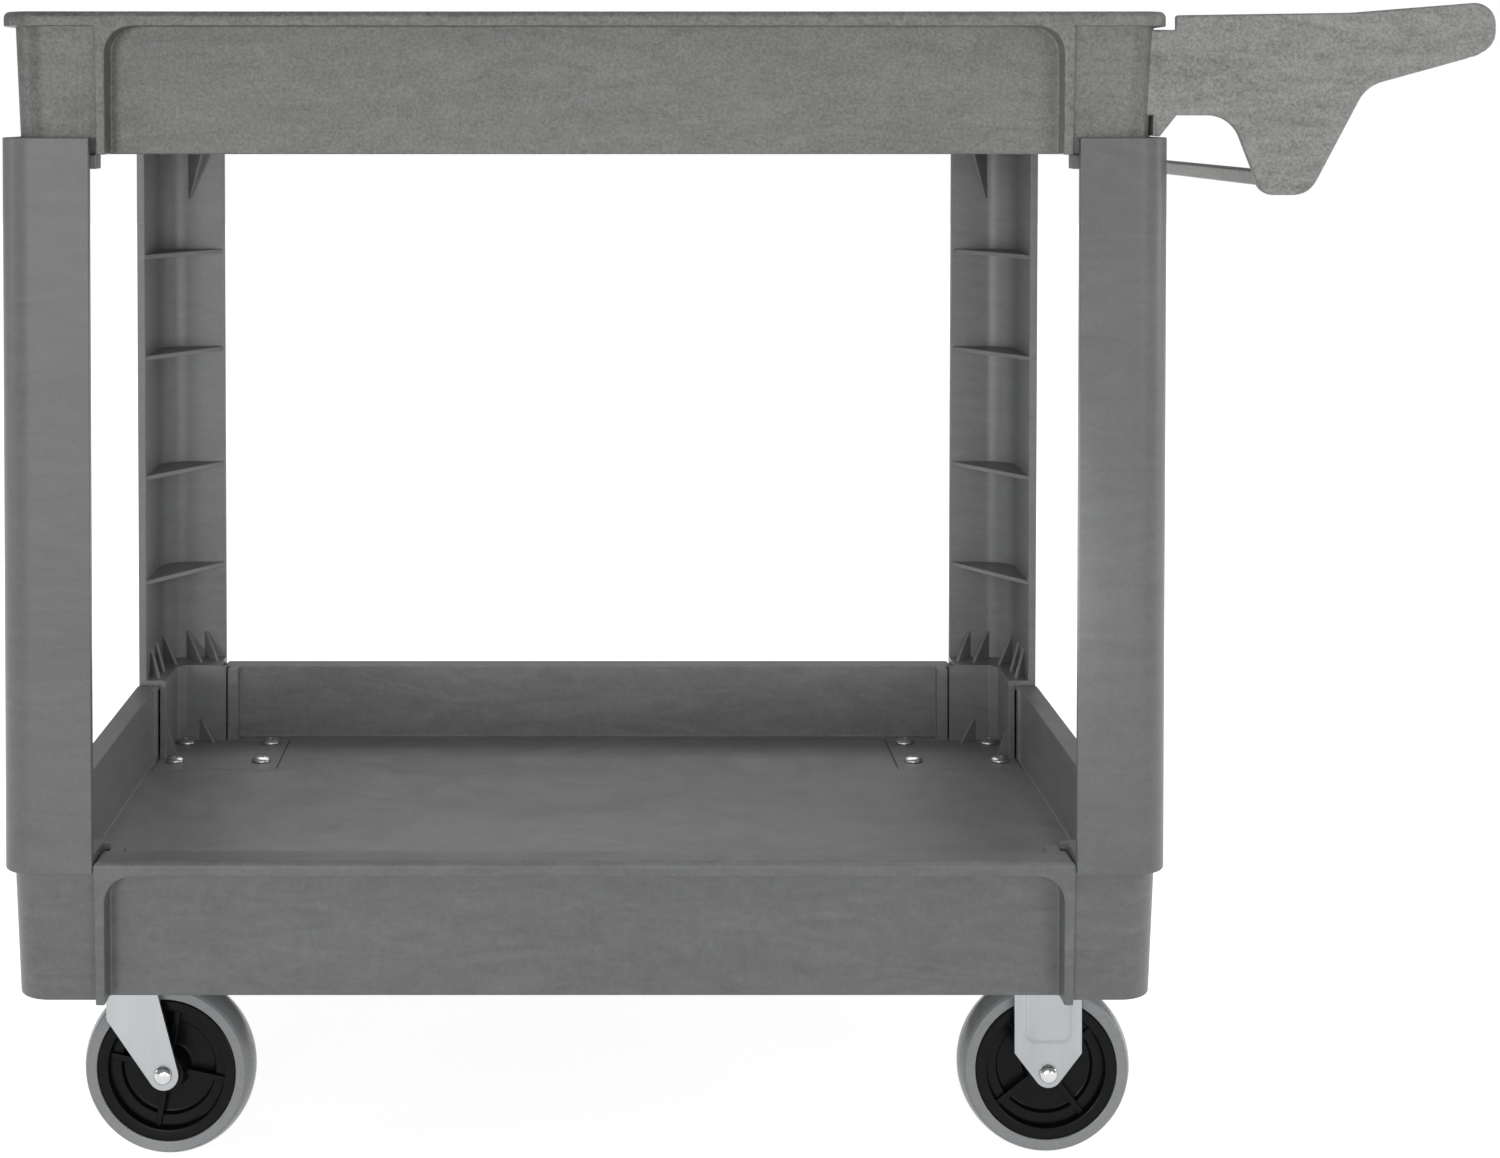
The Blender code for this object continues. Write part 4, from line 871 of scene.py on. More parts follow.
def post_lower_end(post):
    """Ledge on the lower tray's corner, insert walls, foot plate and their gussets."""
    grown = wall_outline(0, FIT)
    cut(post, plain(grown, POST_BOTTOM_Z - OVERRUN, LOWER_LEDGE_Z))
    ledge_top = LOWER_LEDGE_Z + LEDGE
    foot_z = POCKET_TOP + FIT
    foot_top = foot_z + FOOT_PLATE
    ledge = ledge_outline(INSERT_X, INSERT_Y, POST_EDGE_X, POST_EDGE_Y, 0, 0)
    end_x = POST_EDGE_X - INSERT_END
    end_y = POST_EDGE_Y - INSERT_TAB
    walls = insert_outline(INSERT_X, INSERT_Y, end_x, end_y, INSERT_CORNER)
    union(
        post,
        slab(ledge, LOWER_LEDGE_Z, ledge_top, edge=FINE_EDGE),
        slab(walls, foot_top - OVERRUN, ledge_top - OVERRUN / 2, edge=FINE_EDGE),
        slab(foot_outline(), foot_z, foot_top, edge=PLATE_EDGE),
    )
    union(post, *ledge_fins(ledge_top), *foot_fins(foot_top))


def ledge_fins(base_z):
    """The gussets that stand on a post's lower ledge."""
    tip_z = base_z + LEDGE_FIN_HEIGHT
    seats = [(POST_X - place, POST_Y - POST_WALL, *reach) for place, *reach in LONG_FINS]
    seats.append((POST_X - BEND_FIN[0], POST_Y - BEND_FIN[1], *BEND_FIN_REACH))
    seats += [(POST_X - POST_WALL, POST_EDGE_Y + place, *SHORT_FIN_REACH) for place in SHORT_FINS]
    return [fin(x, y, -reach_x, -reach_y, base_z, tip_z) for x, y, reach_x, reach_y in seats]


def foot_fins(base_z):
    """The gussets that stand on a post's foot plate, against its insert walls."""
    place, reach_x, reach_y, height = LONG_FOOT_FIN
    wall_y = INSERT_Y - INSERT_WALL
    long_fin = fin(INSERT_X - place, wall_y, -reach_x, -reach_y, base_z, base_z + height)
    place, reach, height = SHORT_FOOT_FIN
    wall_x = INSERT_X - INSERT_WALL
    short_fin = fin(wall_x, POST_EDGE_Y + place, -reach, 0, base_z, base_z + height)
    return [long_fin, short_fin]


def post_upper_end(post):
    """Ledge under the upper tray's skirt, insert walls inside it and the plate under its pocket."""
    skirt_x = LIP_X - CORNER_INSET_BOTTOM - WALL - UPPER_INSERT_FIT
    skirt_y = LIP_Y - CORNER_INSET_BOTTOM - WALL - UPPER_INSERT_FIT
    ledge_z = UPPER_LEDGE_TOP - UPPER_LEDGE
    shift = lean(UPPER_LEDGE_TOP)
    start_x = POST_EDGE_X + shift + FIT
    start_y = POST_EDGE_Y + shift + FIT
    ledge = ledge_outline(skirt_x, skirt_y, start_x, start_y, lean(ledge_z), UPPER_TAB)
    corner = CORNER_RADIUS - WALL - UPPER_INSERT_FIT
    walls = insert_outline(skirt_x, skirt_y, start_x, start_y, corner)
    panel_x = LIP_X - END_RECESS - WALL - UPPER_INSERT_FIT
    plate = [
        (FOOT_EDGE_X, FOOT_EDGE_Y),
        (panel_x, FOOT_EDGE_Y),
        (panel_x, start_y),
        (skirt_x, start_y),
        *corner_arc(skirt_x, skirt_y, corner),
        (start_x, skirt_y),
        (start_x, INSERT_Y),
        (FOOT_EDGE_X, INSERT_Y),
    ]
    place, reach_x, reach_y = HANGING_FIN
    tip_z = ledge_z - HANGING_FIN_HEIGHT
    union(
        post,
        slab(ledge, ledge_z, UPPER_LEDGE_TOP, edge=FINE_EDGE),
        slab(walls, UPPER_LEDGE_TOP - OVERRUN, TOP_PLATE_Z - OVERRUN, edge=PLATE_EDGE),
        slab(plate, TOP_PLATE_Z - FOOT_PLATE, TOP_PLATE_Z, edge=PLATE_EDGE),
        fin(POST_X - place, POST_Y - POST_WALL, -reach_x, -reach_y, ledge_z, tip_z),
    )


def corner_post():
    """One post in the +X +Y corner."""
    post = slab(post_section(), POST_BOTTOM_Z, POST_TOP_Z, edge=POST_END_EDGE)
    for vertex in post.data.vertices:
        vertex.co.x += lean(vertex.co.z)
    union(post, *[post_rib(top_z) for top_z in POST_RIB_TOPS])
    post_lower_end(post)
    post_upper_end(post)
    return post


def handle_profile(start_x):
    """Side view of the handle, from the tray out to the tip and back along the top."""
    notch_x = LIP_X + NOTCH_REACH
    corners = [
        (start_x, ARM_BOTTOM_Z, 0),
        ARM_START,
        LOBE_BACK,
        LOBE_FRONT,
        *ARM_UNDERSIDE,
        *ARM_TOP,
        (notch_x, UPPER_RIM_Z - NOTCH_DROP, NOTCH_ROUND),
        (notch_x, NOTCH_BOTTOM, 0),
        (start_x, NOTCH_BOTTOM, 0),
    ]
    return rounded(corners, 10)


def handle_bolt_places():
    """The y and z of each handle bolt."""
    z = UPPER_RIM_Z - WELL_DEPTH / 2
    return [(side * (POST_EDGE_Y + y), z) for side in (-1, 1) for y in HANDLE_BOLTS_Y]


def rod(radius, half, sides, axis):
    """A round bar about the origin; a turn about X lays it along Y, and one about Y along X."""
    bar = turned([(0, -half), (radius, -half), (radius, half), (0, half)], sides)
    return spun(bar, math.pi / 2, axis)


def handle_holes():
    """Cutters along X for the handle's bolts."""
    holes = []
    for y, z in handle_bolt_places():
        holes.append(moved(rod(BOLT_RADIUS + SHANK_FIT, ARM_RUN_IN, 24, "Y"), LIP_X, y, z))
    return holes


def seat_at(z):
    """Where the handle's flange lies against the upper tray's end wall at a height."""
    return LIP_X - inset_at(UPPER_RIM_Z - z) + FIT


def handle_flange():
    """The plate that bolts to the tray, leaning as its end wall does."""
    low = seat_at(FLANGE_BOTTOM)
    top = seat_at(NOTCH_BOTTOM)
    outline = [
        (low, FLANGE_BOTTOM),
        (low + HANDLE_FLANGE, FLANGE_BOTTOM),
        (top + HANDLE_FLANGE, NOTCH_BOTTOM),
        (top, NOTCH_BOTTOM),
    ]
    return slab(outline, -FLANGE_Y, FLANGE_Y, "Y", edge=FINE_EDGE)


def handle_bin():
    """Floor and outer wall of the small bin between the side plates."""
    start = seat_at(FLANGE_BOTTOM) + OVERRUN
    under = ARM_BOTTOM_Z + BIN_RISE
    top = UPPER_RIM_Z - BIN_TOP_DROP
    inside = BIN_REACH - BIN_WALL
    corners = [
        (start, under, 0),
        (BIN_REACH, under, BIN_OUTER_ROUND),
        (BIN_REACH, top, BIN_RIM_ROUND),
        (inside, top, BIN_RIM_ROUND),
        (inside, under + BIN_WALL, BIN_INNER_ROUND),
        (start, under + BIN_WALL, 0),
    ]
    half = FLANGE_Y - FLANGE_TRIM
    return plain(rounded(corners), -half, half, "Y")


def gusset_outline():
    """Side view of the rib that carries a side plate on the flange's lower end."""
    seat = seat_at(FLANGE_BOTTOM)
    low = FLANGE_BOTTOM - FIT
    return [
        (seat + OVERRUN, ARM_BOTTOM_Z + OVERRUN),
        (seat + OVERRUN, low),
        (seat + HANDLE_FLANGE, low),
        (seat + HANDLE_FLANGE + GUSSET_REACH, ARM_BOTTOM_Z),
        (seat + HANDLE_FLANGE + GUSSET_REACH, ARM_BOTTOM_Z + OVERRUN),
    ]


def tie_outline():
    """Section of the bar between the lobes."""
    low = TIE_TOP_Z - TIE_HEIGHT
    corners = [
        (TIE_X, TIE_TOP_Z, TIE_ROUND),
        (TIE_X + TIE_DEPTH, TIE_TOP_Z, TIE_ROUND),
        (TIE_X + TIE_DEPTH, low, TIE_ROUND),
        (TIE_X + TIE_HEIGHT / 3, low, TIE_ROUND),
    ]
    return rounded(corners)


def pad_outline():
    """Side view of the thicker lower end of a lobe."""
    top = TIE_TOP_Z - FIT
    front = LOBE_FRONT[0] + (TIE_TOP_Z - LOBE_BOTTOM_Z) / 2
    lobe = [(x, z + FIT, radius) for x, z, radius in (LOBE_BACK, LOBE_FRONT)]
    return rounded([(TIE_X, top, 0), *lobe, (front, top, 0)])


def handle_moulding():
    """Side plates, mounting flange, bin, grip bar and the bar between the lobes, in one piece."""
    half = INNER_Y + OVERRUN
    grip = rod(GRIP_RADIUS, half, 48, "X")
    moved(grip, HANDLE_REACH - GRIP_BACK, 0, HANDLE_TOP - GRIP_DROP)
    body = union(handle_flange(), handle_bin(), plain(tie_outline(), -half, half, "Y"), grip)
    plates = [
        (handle_profile(LIP_X - ARM_RUN_IN), INNER_Y, HANDLE_Y, HANDLE_EDGE, 4),
        (gusset_outline(), INNER_Y + FIT, HANDLE_Y - FIT, FINE_EDGE, SMALL_STEPS),
        (pad_outline(), HANDLE_Y - LOBE_PAD, HANDLE_Y - HANDLE_EDGE, SLAB_EDGE, SMALL_STEPS),
    ]
    for side in (-1, 1):
        for outline, near, far, edge, steps in plates:
            low, high = sorted((side * near, side * far))
            union(body, slab(outline, low, high, "Y", edge, steps))
    return cut(body, skin(tray_space()), *handle_holes())


def tray_space():
    """Rings of the upper tray's outside, grown by the fit, that are cut out of the handle."""
    low = wall_outline(TRAY_HEIGHT, FIT)
    shift = inset_at(TRAY_HEIGHT) - inset_at(0)
    cx = LIP_X - CORNER_INSET_BOTTOM - CORNER_RADIUS
    grown = []
    for x, y in low:
        far = abs(x) > cx and abs(x) < LIP_X - OVERRUN and abs(y) > POST_EDGE_Y - FIT
        grown.append((x + math.copysign(shift, x) if far else x, y))
    return [lay(low, UPPER_RIM_Z - TRAY_HEIGHT, "Z"), lay(grown, UPPER_RIM_Z, "Z")]


def turned_both(half, sides):
    """A piece along Y from the half profile of its +Z side, mirrored to the other side."""
    return spun(turned([(r, -z) for r, z in reversed(half)] + half, sides), math.pi / 2, "X")


def arc_points(cx, cy, rx, ry, start, end, steps):
    """Points of an elliptical arc, its angles in degrees."""
    points = []
    for k in range(steps + 1):
        angle = math.radians(start + (end - start) * k / steps)
        points.append((cx + rx * math.cos(angle), cy + ry * math.sin(angle)))
    return points


def button_head():
    """Half section of a button head with a socket, from its rim to the bottom of the socket."""
    dome = arc_points(0, BOLT_RIM, BOLT_HEAD_RADIUS, BOLT_HEAD - BOLT_RIM, 0, 68, 6)
    top = dome[-1][1]
    return [
        (BOLT_HEAD_RADIUS - HEAD_CHAMFER, FIT),
        (BOLT_HEAD_RADIUS, FIT + HEAD_CHAMFER),
        *dome,
        (SOCKET_RADIUS, top),
        (SOCKET_RADIUS - SOCKET_TAPER, top - SOCKET_DEPTH),
        (0, top - SOCKET_DEPTH),
    ]


def screw(reach, nut=False):
    """A round-head bolt down from Z = 0, the seat of its head, with a hexagon nut if asked."""
    profile = [(0, -reach), (BOLT_RADIUS - BOLT_CHAMFER, -reach), (BOLT_RADIUS, -reach + BOLT_CHAMFER)]
    profile += [(BOLT_RADIUS, FIT), *button_head()]
    made = turned(profile, 32)
    if nut:
        top = -nut - FIT
        angles = [math.pi / 3 * k for k in range(6)]
        corners = [(NUT_RADIUS * math.cos(a), NUT_RADIUS * math.sin(a), NUT_CORNER) for a in angles]
        union(made, slab(rounded(corners), top - NUT_HEIGHT, top, edge=NUT_EDGE, steps=2))
    return made


def tangent_angle(centre, radius, point, side):
    """Angle on a circle where the line from a point outside touches it, on one side."""
    away = Vector(point) - Vector(centre)
    return math.atan2(away.y, away.x) + side * math.acos(radius / away.length)


def leg_profile(top, tip, tip_radius, shoulder, corner):
    """Side view of a fork leg: from its shoulders down to the round tip about the axle."""
    tip_x, tip_z = tip
    (back_x, back_z), (front_x, front_z) = shoulder
    start = tangent_angle(tip, tip_radius, shoulder[0], 1)
    end = tangent_angle(tip, tip_radius, shoulder[1], -1)
    if end < start:
        end += 2 * math.pi
    points = [(back_x, top, 0), (back_x, back_z, corner)]
    for k in range(TIP_STEPS + 1):
        angle = start + (end - start) * k / TIP_STEPS
        points.append((tip_x + tip_radius * math.cos(angle), tip_z + tip_radius * math.sin(angle), 0))
    points += [(front_x, front_z, corner), (front_x, top, 0)]
    return rounded(points)


def sheet_section(top_z, low_z):
    """Cross section of a fork: an upside-down U with bent corners, as Y and Z."""
    half = FORK_HALF_WIDTH
    sheet = FORK_SHEET
    corners = [
        (half, low_z, 0),
        (half, top_z, FORK_BEND),
        (-half, top_z, FORK_BEND),
        (-half, low_z, 0),
        (sheet - half, low_z, 0),
        (sheet - half, top_z - sheet, FORK_BEND - sheet),
        (half - sheet, top_z - sheet, FORK_BEND - sheet),
        (half - sheet, low_z, 0),
    ]
    return rounded(corners, 6)


def caster_plate():
    """The plate that bolts under the tray."""
    x = TOP_PLATE_X / 2
    y = TOP_PLATE_Y / 2
    corners = rectangle((-x, x), (-y, y))
    outline = rounded([(*corner, TOP_PLATE_CORNER) for corner in corners])
    return slab(outline, MOUNT_HEIGHT - TOP_PLATE, MOUNT_HEIGHT, edge=METAL_EDGE)


def top_plate():
    """Top plate of a swivel caster, with its kingpin and the pressed ring above the balls."""
    head_top = CROWN_TOP - FORK_SHEET - FIT
    kingpin = [
        (0, MOUNT_HEIGHT - TOP_PLATE / 2),
        (KINGPIN_RADIUS, MOUNT_HEIGHT - TOP_PLATE / 2),
        (KINGPIN_RADIUS, head_top - 0.0009),
        (0.0095, head_top - 0.0009),
        (0.0090, head_top - 0.0025),
        (0.0070, head_top - 0.0034),
        (0, head_top - 0.0034),
    ]
    return union(caster_plate(), turned(kingpin, 32))


def ball_race():
    """The pressed race between a swivel caster's plate and its fork."""
    top_z = MOUNT_HEIGHT - TOP_PLATE - FIT
    low_z = CROWN_TOP + FIT
    middle_z = (top_z + low_z) / 2
    bore = KINGPIN_RADIUS + SHANK_FIT
    profile = [
        (bore, low_z),
        (0.0255, low_z),
        *arc_points(0.0262, low_z + 0.0042, 0.0036, 0.0042, -90, 60, 6),
        (0.0262, middle_z),
        (0.0262, middle_z + 0.0010),
        *arc_points(0.0270, top_z - 0.0044, 0.0030, 0.0044, -60, 90, 6),
        (bore, top_z),
    ]
    return turned(profile, 64)


def pressed_legs(top_z, blank, profile):
    """The bent sheet of a fork, cut to the side view of its legs."""
    legs = plain(sheet_section(top_z, LEG_BOTTOM_Z), -blank, blank, "X")
    combine(legs, plain(profile, -LEG_CUTTER, LEG_CUTTER, "Y"), "INTERSECT")
    return softened(legs)


def raked_fork():
    """A swivel caster's fork about its swivel axis, with the axle trailing towards +X."""
    shoulder = ((-FORK_BACK, FORK_KNEE_Z), (FORK_FRONT, FORK_SHOULDER_Z))
    profile = leg_profile(CROWN_TOP + OVERRUN, (TRAIL, WHEEL_RADIUS), FORK_TIP_RADIUS, shoulder, FORK_CORNER)
    legs = pressed_legs(CROWN_TOP - CROWN_STEP, FORK_BLANK, profile)
    crown = [
        (0, CROWN_TOP - FORK_SHEET - FINE_EDGE),
        (RACE_RADIUS - FINE_EDGE, CROWN_TOP - FORK_SHEET - FINE_EDGE),
        (RACE_RADIUS, CROWN_TOP - FORK_SHEET),
        (RACE_RADIUS, CROWN_TOP - FINE_EDGE),
        (RACE_RADIUS - FINE_EDGE, CROWN_TOP),
        (0, CROWN_TOP),
    ]
    return union(legs, turned(crown, 64))


def raised_panel(side):
    """The pressed panel on a leg of a rigid caster's frame, with soft sides."""
    corners = rectangle((-EMBOSS_HALF, EMBOSS_HALF), (EMBOSS_BOTTOM_Z, EMBOSS_TOP_Z))
    outline = rounded([(*corner, EMBOSS_CORNER) for corner in corners])
    rings = [lay(outline, side * (FORK_HALF_WIDTH - FORK_SHEET / 2), "Y")]
    for k in range(EMBOSS_STEPS + 1):
        share = k / EMBOSS_STEPS
        height = EMBOSS_HEIGHT * share * share * (3 - 2 * share)
        rings.append(lay(inset(outline, EMBOSS_SLOPE * share), side * (FORK_HALF_WIDTH + height), "Y"))
    return skin(rings)


def rigid_frame():
    """A rigid caster's frame about its axle: top plate and two pressed legs with raised panels."""
    leg_top = MOUNT_HEIGHT - TOP_PLATE / 2
    shoulder = ((-RIGID_HALF, RIGID_SHOULDER_Z), (RIGID_HALF, RIGID_SHOULDER_Z))
    profile = leg_profile(leg_top + OVERRUN, (0, WHEEL_RADIUS), RIGID_TIP_RADIUS, shoulder, RIGID_CORNER)
    legs = pressed_legs(leg_top, RIGID_BLANK, profile)
    return union(legs, raised_panel(-1), raised_panel(1), caster_plate())


def axle():
    """Axle with a domed head on each side, along Y."""
    seat = FORK_HALF_WIDTH + FIT
    inwards, along = AXLE_CHAMFER
    half = [(AXLE_RADIUS, seat), (AXLE_HEAD_RADIUS - inwards, seat), (AXLE_HEAD_RADIUS, seat + along)]
    half += arc_points(0, seat + AXLE_RIM, AXLE_HEAD_RADIUS, AXLE_HEAD - AXLE_RIM, 4, 90, 14)
    half[-1] = (0, seat + AXLE_HEAD)
    return turned_both(half, AXLE_SIDES)


def bushing():
    """Plain bearing tube between the axle and the hub."""
    half = FORK_HALF_WIDTH - FORK_SHEET - FIT
    inner = AXLE_RADIUS + FIT
    end = [
        (BUSHING_RADIUS, half - BUSHING_EDGE),
        (BUSHING_RADIUS - BUSHING_EDGE, half),
        (inner, half),
    ]
    return turned_both(end, AXLE_SIDES)


def hub(turn):
    """Wheel hub along Y: barrel, dished web, rim and four radial ribs on each side."""
    barrel_half = FORK_HALF_WIDTH - FORK_SHEET - 2 * FIT
    bore = BUSHING_RADIUS + FIT
    rim = RIM_RADIUS - FIT
    half = [
        (bore, barrel_half),
        (BARREL_RADIUS - FINE_EDGE, barrel_half),
        (BARREL_RADIUS, barrel_half - FINE_EDGE),
        (0.0152, 0.0060),
        (0.0165, 0.0036),
        (0.0190, 0.0028),
        (0.0330, 0.0028),
        (0.0344, 0.0034),
        (0.0350, 0.0048),
        (0.0352, 0.0062),
        (0.0358, 0.0070),
        (0.0424, 0.0076),
        (0.0432, 0.0084),
        (0.0435, 0.0132),
        (0.0440, 0.0142),
        (0.0450, 0.0147),
        (rim - 0.0010, 0.0150),
        (rim, 0.0144),
    ]
    made = turned([(r, -z) for r, z in reversed(half)] + half, WHEEL_SIDES)
    outline = rectangle((BARREL_RADIUS - OVERRUN, HUB_RIB_REACH), (-HUB_RIB / 2, HUB_RIB / 2))
    for i in range(HUB_RIBS):
        rib = slab(outline, -HUB_RIB_HALF, HUB_RIB_HALF, edge=FINE_EDGE)
        union(made, spun(rib, turn + 2 * math.pi * i / HUB_RIBS))
    return spun(made, math.pi / 2, "X")


def tyre():
    """Tyre ring along Y: flat sidewalls with a fine moulding edge, and a crowned tread."""
    half = [
        (RIM_RADIUS, 0.0144),
        (0.0523, 0.0151),
        (0.0530, 0.0154),
        (0.0584, 0.0159),
        (0.0588, 0.0162),
        (0.0592, 0.0161),
    ]
    half += arc_points(0.0575, 0.0095, 0.0042, 0.0064, 75, 20, 8)
    half += [(0.0624, 0.0088), (0.0630, 0.0060), (0.0634, 0.0030), (WHEEL_RADIUS, 0.0010)]
    return turned_both(half, WHEEL_SIDES)


# Materials

WARM = (1.0, 1.0, 0.966)
GREENISH = (0.966, 1.0, 0.983)
BROWNISH = (1.016, 1.0, 0.968)
CLOUD_SHARE = 0.20
FOAM_DARK = 0.45
FOAM_LIGHT = 1.55
SLOTS = {
    "upper": "tray_plastic",
    "lower": "tray_plastic",
    "post": "post_plastic",
    "handle": "handle_plastic",
    "zinc": "zinc",
    "chrome": "chrome",
    "bolt": "plated_steel",
    "hub": "hub_plastic",
    "tyre": "tyre_rubber",
    "bushing": "bushing_nylon",
}


def start(name, roughness, metallic=0.0):
    """A new material and its Principled shader."""
    look = bpy.data.materials.new(name)
    look.use_nodes = True
    shader = look.node_tree.nodes["Principled BSDF"]
    shader.inputs["Roughness"].default_value = roughness
    shader.inputs["Metallic"].default_value = metallic
    return look, look.node_tree, shader


def wire(tree, kind, inputs=None, **settings):
    """A new node with its settings, its inputs set to numbers or linked to sockets."""
    made = tree.nodes.new("ShaderNode" + kind)
    for key, value in settings.items():
        setattr(made, key, value)
    for key, value in (inputs or {}).items():
        if isinstance(value, bpy.types.NodeSocket):
            tree.links.new(value, made.inputs[key])
        else:
            made.inputs[key].default_value = value
    return made


def maths(tree, operation, *values):
    """The result of a Math node on numbers or sockets."""
    return wire(tree, "Math", dict(enumerate(values)), operation=operation).outputs[0]


def places(tree, scale=(1, 1, 1)):
    """The object's own coordinates in metres, stretched where a grain runs one way."""
    source = wire(tree, "TexCoord").outputs["Object"]
    return wire(tree, "Mapping", {"Vector": source, "Scale": scale}).outputs["Vector"]


def noise(tree, vector, scale, detail=4.0, roughness=0.5, distortion=0.0):
    """A noise's value between 0 and 1."""
    inputs = {
        "Vector": vector,
        "Scale": scale,
        "Detail": detail,
        "Roughness": roughness,
        "Distortion": distortion,
    }
    return wire(tree, "TexNoise", inputs).outputs["Fac"]


def sums(tree, base, *terms):
    """The base plus each term's distance from a half, times its weight."""
    total = base
    for value, weight in terms:
        part = maths(tree, "MULTIPLY", maths(tree, "SUBTRACT", value, 0.5), weight)
        total = maths(tree, "ADD", total, part)
    return total


def shades(tree, value, stops):
    """A ramp from pairs of position and colour."""
    ramp = wire(tree, "ValToRGB", {"Fac": value})
    elements = ramp.color_ramp.elements
    while len(elements) < len(stops):
        elements.new(0.5)
    for element, (position, colour) in zip(elements, stops):
        element.position = position
        element.color = (*colour, 1.0)
    return ramp.outputs["Color"]


def spread(tree, value, low, high):
    """Maps 0..1 to a range."""
    inputs = {"Value": value, "To Min": low, "To Max": high}
    return wire(tree, "MapRange", inputs).outputs["Result"]


def dress(tree, shader, value, stops, rough, low, high):
    """A ramp for the base colour, and a range for the roughness."""
    tree.links.new(shades(tree, value, stops), shader.inputs["Base Color"])
    tree.links.new(spread(tree, rough, low, high), shader.inputs["Roughness"])


def bumped(tree, shader, height, distance, strength, normal=None):
    """Bump on the shader's normal, or on top of another bump."""
    inputs = {"Height": height, "Distance": distance, "Strength": strength}
    if normal is not None:
        inputs["Normal"] = normal
    made = wire(tree, "Bump", inputs).outputs["Normal"]
    tree.links.new(made, shader.inputs["Normal"])
    return made


def grey(value, cast=(1.0, 1.0, 1.0)):
    """A near-neutral grey in linear light, with a slight cast."""
    return tuple(value * share for share in cast)


def foam_plastic(name, tone, cast, swirl, grain, streak, painted_light_drift=0.0):
    """Moulded structural foam: swirled and speckled with a satin skin, with painted light: its tone grows
    steadily along X by the drift, so one end is painted lighter as if more light fell on it.
    """
    look, tree, shader = start(name, 0.5)
    even = places(tree)
    swirls = noise(tree, even, 75.0, 9.0, 0.68, 1.6)
    flow = noise(tree, places(tree, (0.35, 0.35, 1.6)), 26.0, 6.0, 0.6, 2.4)
    clouds = noise(tree, even, 7.0, 3.0, 0.5, 0.6)
    speckle = noise(tree, even, 430.0, 4.0, 0.75)
    # Painted light: the tone's middle moves with X, so one end of the piece is painted lighter than the
    # other.
    along = wire(tree, "SeparateXYZ", {0: even}).outputs["X"]
    middle = maths(tree, "MULTIPLY_ADD", along, painted_light_drift, 0.5)
    value = sums(tree, middle, (swirls, swirl), (speckle, grain), (flow, streak), (clouds, CLOUD_SHARE))
    levels = ((0.0, FOAM_DARK), (0.5, 1.0), (1.0, FOAM_LIGHT))
    stops = [(position, grey(tone * level, cast)) for position, level in levels]
    dress(tree, shader, value, stops, sums(tree, 0.5, (swirls, 0.9), (clouds, 0.5)), 0.30, 0.48)
    peel = noise(tree, even, 420.0, 3.0, 0.6)
    normal = bumped(tree, shader, peel, 0.00006, 0.5)
    bumped(tree, shader, swirls, 0.00030, 0.35, normal)
    shader.inputs["Specular IOR Level"].default_value = 0.45
    return look


def zinc(name):
    """Bright zinc plate with a faint drawn grain and cloudy passivation."""
    look, tree, shader = start(name, 0.34, 1.0)
    grain = noise(tree, places(tree, (1, 1, 0.05)), 420.0, 4.0, 0.6)
    bands = noise(tree, places(tree, (1, 1, 0.08)), 55.0, 3.0, 0.5)
    clouds = noise(tree, places(tree), 38.0, 5.0, 0.6, 0.8)
    value = sums(tree, 0.5, (grain, 0.25), (bands, 0.6), (clouds, 0.5))
    stops = [(0.0, (0.325, 0.342, 0.350)), (0.5, (0.385, 0.402, 0.411)), (1.0, (0.450, 0.466, 0.475))]
    dress(tree, shader, value, stops, clouds, 0.34, 0.50)
    bumped(tree, shader, grain, 0.00004, 0.5)
    return look


def bright_steel(name, tone, roughness, spots):
    """Plated or polished steel with a little uneven shine."""
    look, tree, shader = start(name, roughness, 1.0)
    clouds = noise(tree, places(tree), spots, 4.0, 0.6, 0.5)
    stops = [(0.0, grey(tone * 0.86)), (1.0, grey(tone * 1.08))]
    dress(tree, shader, clouds, stops, clouds, roughness * 0.75, roughness * 1.3)
    bumped(tree, shader, noise(tree, places(tree), spots * 6, 2.0), 0.00002, 0.4)
    return look


def hub_plastic(name):
    """Black moulded polypropylene with a soft sheen and faint flow marks."""
    look, tree, shader = start(name, 0.4)
    clouds = noise(tree, places(tree), 60.0, 4.0, 0.6, 1.2)
    fine = noise(tree, places(tree), 900.0, 2.0)
    value = sums(tree, 0.5, (clouds, 0.7), (fine, 0.3))
    stops = [(0.0, (0.0040, 0.0044, 0.0045)), (1.0, (0.0085, 0.0090, 0.0090))]
    dress(tree, shader, value, stops, clouds, 0.22, 0.34)
    bumped(tree, shader, fine, 0.00003, 0.5)
    shader.inputs["Specular IOR Level"].default_value = 0.12
    return look


def tyre_rubber(name):
    """Grey tread rubber: fine speckle, scuffs that run round the wheel."""
    look, tree, shader = start(name, 0.42)
    even = places(tree)
    speckle = noise(tree, even, 1100.0, 3.0, 0.7)
    clouds = noise(tree, even, 45.0, 4.0, 0.6, 0.7)
    value = sums(tree, 0.5, (speckle, 0.5), (clouds, 0.45))
    stops = [(0.0, (0.260, 0.270, 0.276)), (0.5, (0.335, 0.346, 0.354)), (1.0, (0.410, 0.420, 0.428))]
    dress(tree, shader, value, stops, clouds, 0.22, 0.34)
    bumped(tree, shader, speckle, 0.00004, 0.5)
    return look


def nylon(name):
    """Natural nylon, slightly uneven in tone."""
    look, tree, shader = start(name, 0.45)
    clouds = noise(tree, places(tree), 90.0, 3.0)
    stops = [(0.0, (0.52, 0.52, 0.49)), (1.0, (0.66, 0.66, 0.63))]
    tree.links.new(shades(tree, clouds, stops), shader.inputs["Base Color"])
    bumped(tree, shader, clouds, 0.00003, 0.4)
    return look


